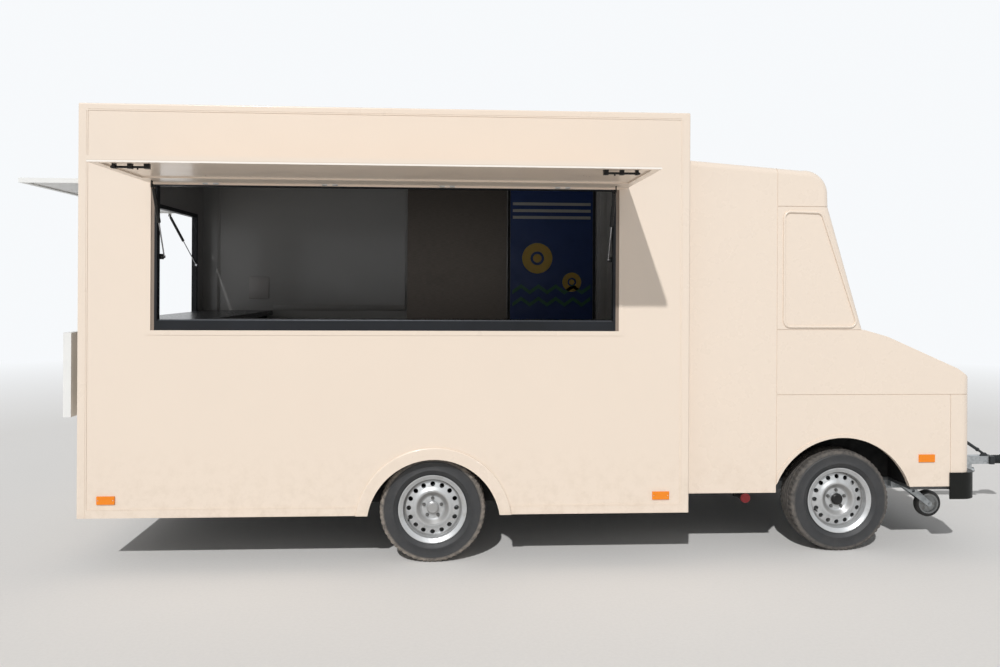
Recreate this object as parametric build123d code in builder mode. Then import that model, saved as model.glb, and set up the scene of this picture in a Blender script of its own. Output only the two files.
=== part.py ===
from build123d import *
import os

os.makedirs("parts", exist_ok=True)

# Frame: +X forward, +Z up, Y across, origin on the ground under the middle of the overall box.
# Stations are measured forward from the rear face of the box body, and reaches from its front face.

# Box body
box_length = 3650.0
half_width = 1200.0
box_bottom = 305.0
box_top = 2750.0
wall = 35.0
trim_proud = 3.0
corner_trim = 56.0
skirt_trim = 54.0
roof_trim = 44.0
floor_bottom = 395.0
floor_thick = 40.0

# Service opening and its hatch
opening_rear_station = 420.0
opening_length = 2792.0
sill_height = 1413.0
opening_height = 862.0
frame_width = 28.0
hatch_rear_overlap = 12.0
hatch_front_overlap = 48.0
hatch_thick = 32.0
hatch_depth = 828.0
hinge_radius = 8.0
hinge_pin_radius = 4.0
hinge_leaf = 3.0
hinge_rise = 9.0
edge_gap = 2.0
seat_gap = 0.3

# Rear opening, closed by an upper flap and a lower counter flap
rear_opening_width = 2070.0
rear_opening_far_margin = 230.0
flap_overlap = 36.0
flap_thick = 28.0
upper_flap_depth = 348.0
lower_flap_depth = 503.0
lower_flap_thick = 46.0
lower_flap_offset = 6.0

# Worktop along the service side and across the rear
worktop_above_sill = 47.0
worktop_thick = 40.0
worktop_depth = 600.0
worktop_setback = 22.0
support_stations = (90.0, 1200.0, 2400.0, box_length - 70)
covering_thick = 3.0

# Cab and nose, narrower than the box
cab_inset = 120.0
cab_sheet = 30.0
cab_seam_reach = 593.0
cab_bottom = 391.0
fender_bottom = 421.0
cap_bottom = 2197.0
belt_height = 1419.0
waist_height = 1008.0
nose_reach = 1866.0
nose_seam_reach = 1728.0

# Wheels
tyre_radius = 323.0
tyre_width = 195.0
rim_radius = 208.0
bead_radius = 191.0
rear_axle_station = 2085.0
front_axle_reach = 1030.0
rear_wheel_inset = 48.0
front_wheel_inset = 45.0
spindle_radius = 22.0
running_gap = 0.05

# Wheel arches
rear_arch_radius = 402.0
rear_arch_height = 238.0
rear_arch_station = 2094.0
flare_width = 72.0
flare_proud = 15.0
flare_round = 9.0
front_arch_radius = 460.0
front_arch_height = 275.0
front_arch_reach = 1024.0
lip_width = 20.0
lip_proud = 5.0

# Drawbar and bumper
coupling_tip_reach = 2910.0
bumper_bottom = 341.0
drawbar_height = 363.0

# Places worked out from the sizes above
hinge_offset = hinge_radius + hinge_leaf + 1.0
leaf_start = hinge_radius + edge_gap
hatch_reach = hinge_offset + leaf_start + hatch_depth
flap_reach = hinge_offset + leaf_start + upper_flap_depth
rear_x = -(box_length + coupling_tip_reach - flap_reach) / 2
front_x = rear_x + box_length
mid_y = (hatch_reach - flare_proud) / 2
near_y = mid_y - half_width + trim_proud
far_y = mid_y + half_width - trim_proud
near_inner_y = near_y + wall
far_inner_y = far_y - wall
roof_z = box_top - trim_proud
ceiling_z = roof_z - wall
floor_z = floor_bottom + floor_thick
opening_rear_x = rear_x + opening_rear_station
opening_front_x = opening_rear_x + opening_length
opening_mid_x = (opening_rear_x + opening_front_x) / 2
lintel_height = sill_height + opening_height
worktop_top = sill_height + worktop_above_sill
near_edge_y = near_inner_y + worktop_setback
rear_opening_far_y = far_y - rear_opening_far_margin
rear_opening_near_y = rear_opening_far_y - rear_opening_width
rear_opening_mid_y = (rear_opening_far_y + rear_opening_near_y) / 2
rear_axle_x = rear_x + rear_axle_station
front_axle_x = front_x + front_axle_reach
rear_arch_x = rear_x + rear_arch_station
front_arch_x = front_x + front_arch_reach
cab_half_width = half_width - cab_inset
seam_x = front_x + cab_seam_reach
nose_x = front_x + nose_reach
nose_seam_x = front_x + nose_seam_reach
sides = {"near": -1, "far": 1}


def block(x_span, y_span, z_span, mode=Mode.ADD):
    # A rectangular block between two x, two y and two z values.
    with Locations((sum(x_span) / 2, sum(y_span) / 2, sum(z_span) / 2)):
        Box(x_span[1] - x_span[0], y_span[1] - y_span[0], z_span[1] - z_span[0], mode=mode)


def bar(start, end, radius, mode=Mode.ADD):
    # A round bar from one point to another.
    start, end = Vector(*start), Vector(*end)
    run = end - start
    with Locations(Plane(origin=start, z_dir=run)):
        Cylinder(radius, run.length, align=(Align.CENTER, Align.CENTER, Align.MIN), mode=mode)


def side_span(side, inner, outer):
    # The two y values between an inner and an outer distance from the centre plane, on one side.
    return tuple(sorted((mid_y + side * inner, mid_y + side * outer)))


# Chassis: channel section long members, cross members and outriggers
beam_y = 480.0
beam_height = 120.0
beam_width = 60.0
beam_web = 6.0
beam_bottom = floor_bottom - beam_height
chassis_rear_x = rear_x + 60.0
chassis_front_x = nose_x - 60.0
cross_stations = (90.0, 1250.0, 2500.0, box_length - 30, box_length + 550, box_length + 1550)
outrigger_stations = (250.0, 1250.0, 2750.0, box_length - 150)
outrigger_height = 60.0
cross_height = 80.0
member_half = 25.0
outrigger_half = 20.0
tow_stub_half = 24.0

with BuildPart() as chassis_frame:
    for side in sides.values():
        with BuildSketch(Plane.YZ.offset(chassis_rear_x)):
            with Locations((mid_y + side * beam_y, beam_bottom + beam_height / 2)):
                Rectangle(beam_width, beam_height)
            with Locations((mid_y + side * (beam_y - beam_web), beam_bottom + beam_height / 2)):
                Rectangle(beam_width, beam_height - 2 * beam_web, mode=Mode.SUBTRACT)
        extrude(amount=chassis_front_x - chassis_rear_x)
    for station in cross_stations:
        x = rear_x + station
        inner = beam_y + beam_width / 2 - beam_web
        block(
            (x - member_half, x + member_half), (mid_y - inner, mid_y + inner),
            (floor_bottom - cross_height, floor_bottom),
        )
    for station in outrigger_stations:
        x = rear_x + station
        for side in sides.values():
            span = side_span(side, beam_y + beam_width / 2, half_width - trim_proud - wall)
            block(
                (x - outrigger_half, x + outrigger_half), span,
                (floor_bottom - outrigger_height, floor_bottom),
            )
    for side in sides.values():
        block(
            (chassis_front_x, nose_x), side_span(side, beam_y - tow_stub_half, beam_y + tow_stub_half),
            (bumper_bottom + 10, bumper_bottom + 44),
        )
chassis_frame.part.label = "chassis_frame"
export_step(chassis_frame.part, "parts/chassis_frame.step")

# Axles: a square tube under the long members, trailing arms and wheel spindles
axle_tube = 80.0
arm_width = 40.0
arm_lead = 150.0
arm_gap = 12.0
plate_radius = 116.0
drum_radius = 108.0
spindle_end = 20.0
axle_table = {
    "rear_axle": (rear_axle_x, half_width - trim_proud - rear_wheel_inset),
    "front_axle": (front_axle_x, cab_half_width - front_wheel_inset),
}
tube_z = beam_bottom - axle_tube / 2
hub_inner = 70.0
arm_outset = tyre_width / 2 + arm_gap

for axle_name, (axle_x, tyre_face) in axle_table.items():
    wheel_y = tyre_face - tyre_width / 2
    arm_y = wheel_y - arm_outset - arm_width
    tube_x = axle_x + arm_lead
    with BuildPart() as axle:
        block(
            (tube_x - axle_tube / 2, tube_x + axle_tube / 2),
            (mid_y - arm_y, mid_y + arm_y),
            (tube_z - axle_tube / 2, tube_z + axle_tube / 2),
        )
        for side in sides.values():
            arm_plane = Plane.XZ.offset(-(mid_y + side * (arm_y + arm_width / 2)))
            with BuildSketch(arm_plane):
                with Locations((tube_x, tube_z)):
                    Circle(52)
                with Locations((axle_x, tyre_radius)):
                    Circle(42)
                make_hull()
            extrude(amount=arm_width / 2, both=True)
            steps = (arm_outset, hub_inner + 12, hub_inner + 6, -spindle_end)
            across = [mid_y + side * (wheel_y - out) for out in steps]
            bar((axle_x, across[0], tyre_radius), (axle_x, across[2], tyre_radius), spindle_radius + 20)
            bar((axle_x, across[1], tyre_radius), (axle_x, across[2], tyre_radius), plate_radius)
            bar((axle_x, across[0], tyre_radius), (axle_x, across[3], tyre_radius), spindle_radius)
    axle.part.label = axle_name
    export_step(axle.part, f"parts/{axle_name}.step")

# Wheels: tyre and pierced steel rim, made about the Y axis
hole_count = 16
hole_radius = 14.5
hole_circle = 146.0
well_depth = 12.0
ring_radius = 103.0
ring_height = 58.0
hub_radius = 68.0
hub_height = 34.0
boss_radius = 38.0
boss_height = 46.0
bore_end = spindle_end + 10.0
disc_thick = 9.0
bead_gap = 0.1

for axle_name, (axle_x, tyre_face) in axle_table.items():
    for side_name, side in sides.items():
        wheel_y = mid_y + side * (tyre_face - tyre_width / 2)
        wheel_plane = Plane(origin=(axle_x, wheel_y, tyre_radius), x_dir=(1, 0, 0), z_dir=(0, side, 0))
        half = tyre_width / 2
        # Profile: x is the distance from the axle, y points out of the vehicle
        profile_plane = Plane(
            origin=wheel_plane.origin, x_dir=(1, 0, 0), z_dir=Vector(1, 0, 0).cross(wheel_plane.z_dir)
        )
        node = axle_name.replace("axle", "") + side_name
        with BuildPart() as tyre:
            with BuildSketch(profile_plane):
                with BuildLine():
                    tread = Line((tyre_radius, -half + 26), (tyre_radius, half - 26))
                    outer_shoulder = ThreePointArc(
                        tread @ 1, (tyre_radius - 9, half - 10), (tyre_radius - 30, half - 3)
                    )
                    outer_wall = ThreePointArc(
                        outer_shoulder @ 1, (tyre_radius - 62, half), (rim_radius + 6, half - 14)
                    )
                    outer_foot = Line(outer_wall @ 1, (bead_radius, half - 18))
                    bead = Line(outer_foot @ 1, (bead_radius, -half + 18))
                    inner_foot = Line(bead @ 1, (rim_radius + 6, -half + 14))
                    inner_wall = ThreePointArc(
                        inner_foot @ 1, (tyre_radius - 62, -half), (tyre_radius - 30, -half + 3)
                    )
                    ThreePointArc(inner_wall @ 1, (tyre_radius - 9, -half + 10), tread @ 0)
                make_face()
            revolve(axis=Axis(wheel_plane.origin, wheel_plane.z_dir), revolution_arc=360)
        tyre.part.label = f"tyre_{node}"
        export_step(tyre.part, f"parts/tyre_{node}.step")

        seat_radius = bead_radius - bead_gap
        well_radius = seat_radius - well_depth
        lip = half - 18
        with BuildPart() as rim:
            with BuildSketch(profile_plane):
                with BuildLine():
                    Polyline(
                        (spindle_radius + running_gap, -hub_inner),
                        (drum_radius, -hub_inner),
                        (drum_radius, ring_height - 16),
                        (ring_radius + 24, ring_height - 8 - disc_thick),
                        (well_radius - 11, ring_height - 18 - disc_thick),
                        (well_radius, ring_height - 26 - disc_thick),
                        (well_radius, -lip),
                        (seat_radius, -lip),
                        (seat_radius, lip),
                        (rim_radius, lip + 3),
                        (rim_radius, lip + 8),
                        (rim_radius - 5, lip + 8),
                        (seat_radius - 4, lip - 2),
                        (seat_radius - 10, lip - 5),
                        (well_radius, ring_height - 22),
                        (well_radius - 11, ring_height - 18),
                        (ring_radius + 24, ring_height - 8),
                        (ring_radius + 6, ring_height),
                        (ring_radius - 5, ring_height),
                        (ring_radius - 20, ring_height - 12),
                        (hub_radius, hub_height),
                        (boss_radius, hub_height),
                        (boss_radius - 3, boss_height),
                        (0, boss_height),
                        (0, bore_end),
                        (spindle_radius + running_gap, bore_end),
                        close=True,
                    )
                make_face()
            revolve(axis=Axis(wheel_plane.origin, wheel_plane.z_dir), revolution_arc=360)
            with BuildSketch(wheel_plane.offset(ring_height - 40)):
                with PolarLocations(hole_circle, hole_count):
                    Circle(hole_radius)
            extrude(amount=40, mode=Mode.SUBTRACT)
        rim.part.label = f"rim_{node}"
        export_step(rim.part, f"parts/rim_{node}.step")

# Floor of the box, with a raised covering where people stand
liner_table = (
    ("rear", rear_x + 1680, rear_x + 2500, half_width - trim_proud - wall, 880.0, 715.0),
    ("front", seam_x - 28, front_x + 1480, cab_half_width - cab_sheet, 780.0, 775.0),
)
liner_sheet = 4.0

with BuildPart() as floor_panel:
    block((rear_x + wall, front_x - wall), (near_inner_y, far_inner_y), (floor_bottom, floor_z))
    for side in sides.values():
        end, liner_rear_x, liner_front_x, outer, inner, top = liner_table[0]
        block(
            (liner_rear_x, liner_front_x), side_span(side, inner, outer + 1), (floor_bottom, floor_z),
            mode=Mode.SUBTRACT,
        )
    block(
        (rear_x + wall + worktop_depth - 30, front_x - wall - 6),
        (near_edge_y + worktop_depth - 20, mid_y + liner_table[0][4] - 6),
        (floor_z, floor_z + covering_thick),
    )
floor_panel.part.label = "floor_panel"
export_step(floor_panel.part, "parts/floor_panel.step")

# Wheel boxes, open below and towards the wheel arch
with BuildPart() as wheel_boxes:
    for end, liner_rear_x, liner_front_x, outer, inner, top in liner_table:
        for side in sides.values():
            bottom = box_bottom if end == "rear" else fender_bottom
            block((liner_rear_x, liner_front_x), side_span(side, inner, outer), (bottom, top))
            block(
                (liner_rear_x + liner_sheet, liner_front_x - liner_sheet),
                side_span(side, inner + liner_sheet, outer),
                (bottom, top - liner_sheet),
                mode=Mode.SUBTRACT,
            )
wheel_boxes.part.label = "wheel_boxes"
export_step(wheel_boxes.part, "parts/wheel_boxes.step")

# Side walls
door_front_margin = 190.0
door_width = 760.0
door_bottom = floor_z + 5.0
door_height = 2125.0
door_front_x = front_x - door_front_margin
door_rear_x = door_front_x - door_width

for side_name, side in sides.items():
    with BuildPart() as side_wall:
        inner_plane = Plane.XZ.offset(-(mid_y + side * (half_width - trim_proud - wall)))
        with BuildSketch(inner_plane):
            with Locations((rear_x + trim_proud, box_bottom)):
                Rectangle(box_length - 2 * trim_proud, ceiling_z - box_bottom, align=Align.MIN)
            if side_name == "near":
                with Locations((opening_rear_x, sill_height)):
                    Rectangle(opening_length, opening_height, align=Align.MIN, mode=Mode.SUBTRACT)
            else:
                with Locations((door_rear_x, door_bottom)):
                    Rectangle(door_width, door_height, align=Align.MIN, mode=Mode.SUBTRACT)
            with Locations((rear_arch_x, rear_arch_height)):
                Circle(rear_arch_radius, mode=Mode.SUBTRACT)
        extrude(amount=-side * wall)
    side_wall.part.label = f"{side_name}_wall"
    export_step(side_wall.part, f"parts/{side_name}_wall.step")

# Rear wall with its wide opening, and closed front wall
with BuildPart() as rear_wall:
    with BuildSketch(Plane.YZ.offset(rear_x + trim_proud)):
        with Locations((near_inner_y, box_bottom)):
            Rectangle(far_inner_y - near_inner_y, ceiling_z - box_bottom, align=Align.MIN)
        with Locations((rear_opening_near_y, sill_height)):
            Rectangle(rear_opening_width, opening_height, align=Align.MIN, mode=Mode.SUBTRACT)
    extrude(amount=wall - trim_proud)
rear_wall.part.label = "rear_wall"
export_step(rear_wall.part, "parts/rear_wall.step")

with BuildPart() as front_wall:
    block((front_x - wall, front_x - trim_proud), (near_inner_y, far_inner_y), (floor_bottom, ceiling_z))
front_wall.part.label = "front_wall"
export_step(front_wall.part, "parts/front_wall.step")

# Roof
with BuildPart() as roof_panel:
    block((rear_x + trim_proud, front_x - trim_proud), (near_y, far_y), (ceiling_z, roof_z))
roof_panel.part.label = "roof_panel"
export_step(roof_panel.part, "parts/roof_panel.step")

# Edge extrusions along every edge of the box and round the service opening, proud of the panels
corner_radius = 8.0
groove_width = 3.0
groove_depth = 1.5
groove_inset = 9.0

with BuildPart() as edge_trims:
    block((rear_x, front_x), (mid_y - half_width, mid_y + half_width), (box_bottom, box_top))
    outer_edges = edge_trims.edges().filter_by(Axis.Z) + edge_trims.faces().sort_by(Axis.Z)[-1].edges()
    fillet(outer_edges, corner_radius)
    block(
        (rear_x + trim_proud, front_x - trim_proud), (near_y, far_y), (box_bottom, roof_z),
        mode=Mode.SUBTRACT,
    )
    x_span = (rear_x + corner_trim, front_x - corner_trim)
    y_span = (mid_y - half_width + corner_trim, mid_y + half_width - corner_trim)
    z_span = (box_bottom + skirt_trim, box_top - roof_trim)
    block(x_span, (mid_y - half_width, mid_y + half_width), z_span, mode=Mode.SUBTRACT)
    block((rear_x, front_x), y_span, z_span, mode=Mode.SUBTRACT)
    block(x_span, y_span, (roof_z, box_top), mode=Mode.SUBTRACT)
    block((front_x - trim_proud, front_x), y_span, (box_bottom, floor_bottom), mode=Mode.SUBTRACT)
    for side in sides.values():
        face_span = side_span(side, half_width - groove_depth, half_width)
        for x in (
            rear_x + corner_trim - groove_inset,
            front_x - corner_trim + groove_inset - groove_width,
        ):
            block((x, x + groove_width), face_span, (box_bottom, box_top - roof_trim), mode=Mode.SUBTRACT)
        for z in (
            box_bottom + skirt_trim - groove_inset,
            box_top - roof_trim + groove_inset - groove_width,
        ):
            block(x_span, face_span, (z, z + groove_width), mode=Mode.SUBTRACT)
    with BuildSketch(Plane.XZ.offset(-mid_y)):
        with Locations((rear_arch_x, rear_arch_height)):
            Circle(rear_arch_radius + flare_width + seat_gap)
    extrude(amount=half_width, both=True, mode=Mode.SUBTRACT)
    with BuildSketch(Plane.XZ.offset(-near_y)):
        with Locations((opening_mid_x, sill_height + opening_height / 2)):
            Rectangle(opening_length + 2 * frame_width, opening_height + 2 * frame_width)
            Rectangle(opening_length, opening_height, mode=Mode.SUBTRACT)
        with Locations((opening_mid_x, lintel_height)):
            Rectangle(
                opening_length + 100, frame_width + 1, align=(Align.CENTER, Align.MIN),
                mode=Mode.SUBTRACT,
            )
    extrude(amount=trim_proud)
edge_trims.part.label = "edge_trims"
export_step(edge_trims.part, "parts/edge_trims.step")

# Flares round the rear wheel arches
with BuildPart() as arch_flares:
    for side in sides.values():
        with BuildSketch(Plane.XZ.offset(-(mid_y + side * (half_width - trim_proud)))):
            with Locations((rear_arch_x, rear_arch_height)):
                Circle(rear_arch_radius + flare_width)
                Circle(rear_arch_radius, mode=Mode.SUBTRACT)
            with Locations((rear_arch_x, box_bottom)):
                Rectangle(3 * rear_arch_radius, 600, align=(Align.CENTER, Align.MAX), mode=Mode.SUBTRACT)
        extrude(amount=-side * flare_proud)
        rim_edges = arch_flares.edges().filter_by(GeomType.CIRCLE).filter_by(
            lambda edge: (
                abs(edge.center().Y - mid_y) > half_width + 1 and edge.radius > rear_arch_radius + 1
            )
            and (edge.center().Y - mid_y) * side > 0
        )
        fillet(rim_edges, flare_round)
arch_flares.part.label = "arch_flares"
export_step(arch_flares.part, "parts/arch_flares.step")

# Service opening: pale frame on the wall and dark frame inside it with a deep sill rail
dark_frame = 34.0
sill_rail = 56.0
dark_outset = 4.0
dark_inner_y = near_inner_y + 20.0

with BuildPart() as dark_frames:
    with BuildSketch(Plane.XZ.offset(-(near_y + dark_outset))):
        with Locations((opening_rear_x, sill_height)):
            Rectangle(opening_length, opening_height, align=Align.MIN)
        with Locations((opening_rear_x + dark_frame, sill_height + sill_rail)):
            Rectangle(
                opening_length - 2 * dark_frame, opening_height - sill_rail - 6, align=Align.MIN,
                mode=Mode.SUBTRACT,
            )
    extrude(amount=-(dark_inner_y - near_y - dark_outset))
    with BuildSketch(Plane.YZ.offset(rear_x + 6)):
        with Locations((rear_opening_mid_y, sill_height + opening_height / 2)):
            Rectangle(rear_opening_width, opening_height)
            Rectangle(rear_opening_width - 60, opening_height - 60, mode=Mode.SUBTRACT)
    extrude(amount=wall + 6)
dark_frames.part.label = "dark_frames"
export_step(dark_frames.part, "parts/dark_frames.step")

# Inside: worktop, wall panels and the boxed corner profile
panel_thick = 3.0
steel_rear_x = door_rear_x - 900
steel_front_x = door_rear_x - 20

with BuildPart() as worktop:
    top_span = (worktop_top - worktop_thick, worktop_top)
    block((rear_x + wall + 40, front_x - wall - 1), (near_edge_y, near_edge_y + worktop_depth), top_span)
    block((rear_x + wall + 40, rear_x + wall + worktop_depth), (near_edge_y, far_inner_y - 1), top_span)
    for station in support_stations:
        block(
            (rear_x + station, rear_x + station + 20),
            (near_inner_y + 330, near_edge_y + worktop_depth - 30),
            (floor_z, worktop_top - worktop_thick),
        )
    block((rear_x + wall + 40, rear_x + wall + worktop_depth - 40), (far_inner_y - 60, far_inner_y - 40),
          (floor_z, worktop_top - worktop_thick))
worktop.part.label = "worktop"
export_step(worktop.part, "parts/worktop.step")

with BuildPart() as steel_panel:
    block((steel_rear_x, steel_front_x), (far_inner_y - panel_thick, far_inner_y), (1000, 2620))
steel_panel.part.label = "steel_panel"
export_step(steel_panel.part, "parts/steel_panel.step")

pillar_depth = 60.0
pillar_step = 18.0

with BuildPart() as corner_pillar:
    pillar_rear_x = door_front_x + 20
    pillar_front_x = front_x - wall
    rib = (pillar_front_x - pillar_rear_x) / 5
    with BuildSketch(Plane.XY.offset(floor_z)):
        with BuildLine():
            Polyline(
                (pillar_rear_x, far_inner_y),
                (pillar_rear_x, far_inner_y - pillar_depth + pillar_step),
                (pillar_rear_x + rib, far_inner_y - pillar_depth + pillar_step),
                (pillar_rear_x + rib, far_inner_y - pillar_depth),
                (pillar_rear_x + 2.4 * rib, far_inner_y - pillar_depth),
                (pillar_rear_x + 2.4 * rib, far_inner_y - pillar_depth + pillar_step / 2),
                (pillar_rear_x + 3.4 * rib, far_inner_y - pillar_depth + pillar_step / 2),
                (pillar_rear_x + 3.4 * rib, far_inner_y - pillar_depth),
                (pillar_front_x, far_inner_y - pillar_depth),
                (pillar_front_x, far_inner_y),
                close=True,
            )
        make_face()
    extrude(amount=ceiling_z - floor_z)
corner_pillar.part.label = "corner_pillar"
export_step(corner_pillar.part, "parts/corner_pillar.step")

# Entry door in the far wall, hinged at its front edge, with the decorated panel inside
door_gap = 7.0
door_hinge_y = far_y + 6.5
door_hinge_x = door_front_x + 4
door_hinge_heights = (door_bottom + 260, door_bottom + 1000, door_bottom + 1860)
knuckle_length = 40.0
door_leaf_thick = 2.0

with BuildPart() as entry_door:
    block(
        (door_rear_x + door_gap, door_front_x - door_gap), (far_inner_y, far_y),
        (door_bottom + door_gap, door_bottom + door_height - door_gap),
    )
    for height in door_hinge_heights:
        bar(
            (door_hinge_x, door_hinge_y, height + 0.3),
            (door_hinge_x, door_hinge_y, height + knuckle_length), 6,
        )
        block(
            (door_front_x - 60, door_hinge_x), (far_y, far_y + door_leaf_thick),
            (height + 0.3, height + knuckle_length),
        )
        block(
            (door_hinge_x - 6, door_hinge_x), (far_y, door_hinge_y),
            (height + 0.3, height + knuckle_length),
        )
        bar(
            (door_hinge_x, door_hinge_y, height),
            (door_hinge_x, door_hinge_y, height + knuckle_length + 1),
            3 + running_gap, mode=Mode.SUBTRACT,
        )
entry_door.part.label = "entry_door"
export_step(entry_door.part, "parts/entry_door.step")

with BuildPart() as door_hinges:
    for height in door_hinge_heights:
        bar(
            (door_hinge_x, door_hinge_y, height - knuckle_length),
            (door_hinge_x, door_hinge_y, height), 6,
        )
        block(
            (door_hinge_x, door_front_x + 60), (far_y, far_y + door_leaf_thick),
            (height - knuckle_length, height),
        )
        block(
            (door_hinge_x, door_hinge_x + 6), (far_y, door_hinge_y),
            (height - knuckle_length, height),
        )
        bar(
            (door_hinge_x, door_hinge_y, height - knuckle_length),
            (door_hinge_x, door_hinge_y, height + knuckle_length), 3,
        )

with BuildPart() as door_handle:
    block((door_rear_x + 40, door_rear_x + 80), (far_y, far_y + 6), (1330, 1500))
    block((door_rear_x + 50, door_rear_x + 70), (far_y + 6, far_y + 13), (1350, 1480))
door_handle.part.label = "door_handle"
export_step(door_handle.part, "parts/door_handle.step")

with BuildPart() as decorated_panel:
    block(
        (door_rear_x + 12, door_front_x - 12), (far_inner_y - panel_thick, far_inner_y),
        (door_bottom + 12, door_bottom + door_height - 12),
    )
decorated_panel.part.label = "decorated_panel"
export_step(decorated_panel.part, "parts/decorated_panel.step")

# Service hatch, open level, hinged above the opening on knuckles
hatch_hinge_y = near_y - hinge_offset
hatch_hinge_z = lintel_height + hinge_rise
hatch_rear_x = opening_rear_x - hatch_rear_overlap
hatch_front_x = opening_front_x + hatch_front_overlap
hatch_inner_y = hatch_hinge_y - leaf_start
hatch_outer_y = hatch_inner_y - hatch_depth
hatch_border = 42.0
hatch_rail = 205.0
hatch_recess = 8.0
hinge_count = 4
hinge_step = opening_length / hinge_count
hinge_half = 45.0
knuckle_half = hinge_half / 3
knuckle_gap = 0.4
hinge_xs = [opening_rear_x + hinge_step * (index + 0.5) for index in range(hinge_count)]

with BuildPart() as service_hatch:
    block(
        (hatch_rear_x, hatch_front_x), (hatch_outer_y, hatch_inner_y),
        (hatch_hinge_z, hatch_hinge_z + hatch_thick),
    )
    block(
        (hatch_rear_x + hatch_border, hatch_front_x - hatch_border),
        (hatch_outer_y + hatch_border, hatch_inner_y - hatch_rail),
        (hatch_hinge_z, hatch_hinge_z + hatch_recess),
        mode=Mode.SUBTRACT,
    )
    for x in hinge_xs:
        bar(
            (x - knuckle_half, hatch_hinge_y, hatch_hinge_z),
            (x + knuckle_half, hatch_hinge_y, hatch_hinge_z), hinge_radius,
        )
        block(
            (x - knuckle_half, x + knuckle_half), (hatch_inner_y - 1, hatch_hinge_y),
            (hatch_hinge_z, hatch_hinge_z + hinge_radius),
        )
        bar(
            (x - hinge_half, hatch_hinge_y, hatch_hinge_z),
            (x + hinge_half, hatch_hinge_y, hatch_hinge_z),
            hinge_pin_radius + running_gap, mode=Mode.SUBTRACT,
        )
service_hatch.part.label = "service_hatch"
export_step(service_hatch.part, "parts/service_hatch.step")

with BuildPart() as hatch_hinges:
    for x in hinge_xs:
        for start, end in (
            (x - hinge_half, x - knuckle_half - knuckle_gap), (x + knuckle_half + knuckle_gap, x + hinge_half),
        ):
            bar((start, hatch_hinge_y, hatch_hinge_z), (end, hatch_hinge_y, hatch_hinge_z), hinge_radius)
            block(
                (start, end), (hatch_hinge_y, near_y - 3),
                (hatch_hinge_z, hatch_hinge_z + hinge_radius),
            )
        block(
            (x - hinge_half, x + hinge_half), (near_y - 3, near_y),
            (hatch_hinge_z - 6, hatch_hinge_z + 36),
        )
        bar(
            (x - hinge_half, hatch_hinge_y, hatch_hinge_z),
            (x + hinge_half, hatch_hinge_y, hatch_hinge_z), hinge_pin_radius,
        )

# Gas struts: cylinder pinned under a leaf, rod's eye at a pin on the jamb
strut_radius = 11.0
rod_radius = 4.0
eye_radius = 9.0
eye_width = 10.0
eye_pin_radius = 4.0
pin_reach = 6.0
cylinder_start = 16.0
rod_overlap = 22.0


def along(top, foot, distance):
    # The point at a distance from the top pin towards the foot pin.
    return Vector(*top) + (Vector(*foot) - Vector(*top)).normalized() * distance


def add_eye(centre, across):
    # A flat round eye about a pin.
    reach = Vector(*across) * (eye_width / 2)
    bar(Vector(*centre) - reach, Vector(*centre) + reach, eye_radius)


def cut_eye(centre, across):
    # The pin's running bore through an eye.
    reach = Vector(*across) * eye_width
    bar(
        Vector(*centre) - reach, Vector(*centre) + reach, eye_pin_radius + running_gap,
        mode=Mode.SUBTRACT,
    )


def add_cylinder(top, foot, across, cylinder_length):
    # A cylinder with its eye at the top pin and a bore open at its lower end.
    end = cylinder_start + cylinder_length
    add_eye(top, across)
    bar(along(top, foot, 0), along(top, foot, cylinder_start + 1), rod_radius)
    bar(along(top, foot, cylinder_start), along(top, foot, end), strut_radius)
    bar(
        along(top, foot, cylinder_start + 12), along(top, foot, end),
        rod_radius + running_gap, mode=Mode.SUBTRACT,
    )
    cut_eye(top, across)


def add_rod(top, foot, across, cylinder_length):
    # A rod that starts inside the cylinder and ends in an eye, whose stud points at its bracket.
    start = cylinder_start + cylinder_length - rod_overlap
    bar(along(top, foot, start), foot, rod_radius)
    add_eye(foot, across)
    head = Vector(*foot) - Vector(*across) * pin_reach
    bar(head, Vector(*foot) + Vector(*across) * (pin_reach - seat_gap), eye_pin_radius)


bolt_rear_inset = 60.0
bolt_front_inset = dark_frame + 6.0
bolt_length = 190.0
bolt_radius = 6.0
bolt_drop = 17.0
bolt_y = hatch_outer_y + 112.0

hatch_pin_out = 95.0
hatch_pin_drop = 30.0
jamb_pin_depth = 83.0
jamb_pin_drop = 433.0
hatch_cylinder_length = 210.0
strut_inset = dark_frame + 16.0
strut_top_y = hatch_hinge_y - hatch_pin_out
strut_top_z = hatch_hinge_z - hatch_pin_drop
strut_foot_y = near_y + jamb_pin_depth
strut_foot_z = hatch_hinge_z - jamb_pin_drop
strut_places = ((opening_rear_x + strut_inset, -1), (opening_front_x - strut_inset, 1))

with BuildPart() as hatch_cylinders:
    for x, outward in strut_places:
        add_cylinder(
            (x, strut_top_y, strut_top_z), (x, strut_foot_y, strut_foot_z), (outward, 0, 0),
            hatch_cylinder_length,
        )
hatch_cylinders.part.label = "hatch_cylinders"
export_step(hatch_cylinders.part, "parts/hatch_cylinders.step")

with BuildPart() as hatch_rods:
    for x, outward in strut_places:
        add_rod(
            (x, strut_top_y, strut_top_z), (x, strut_foot_y, strut_foot_z), (outward, 0, 0),
            hatch_cylinder_length,
        )
hatch_rods.part.label = "hatch_rods"
export_step(hatch_rods.part, "parts/hatch_rods.step")

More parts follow.
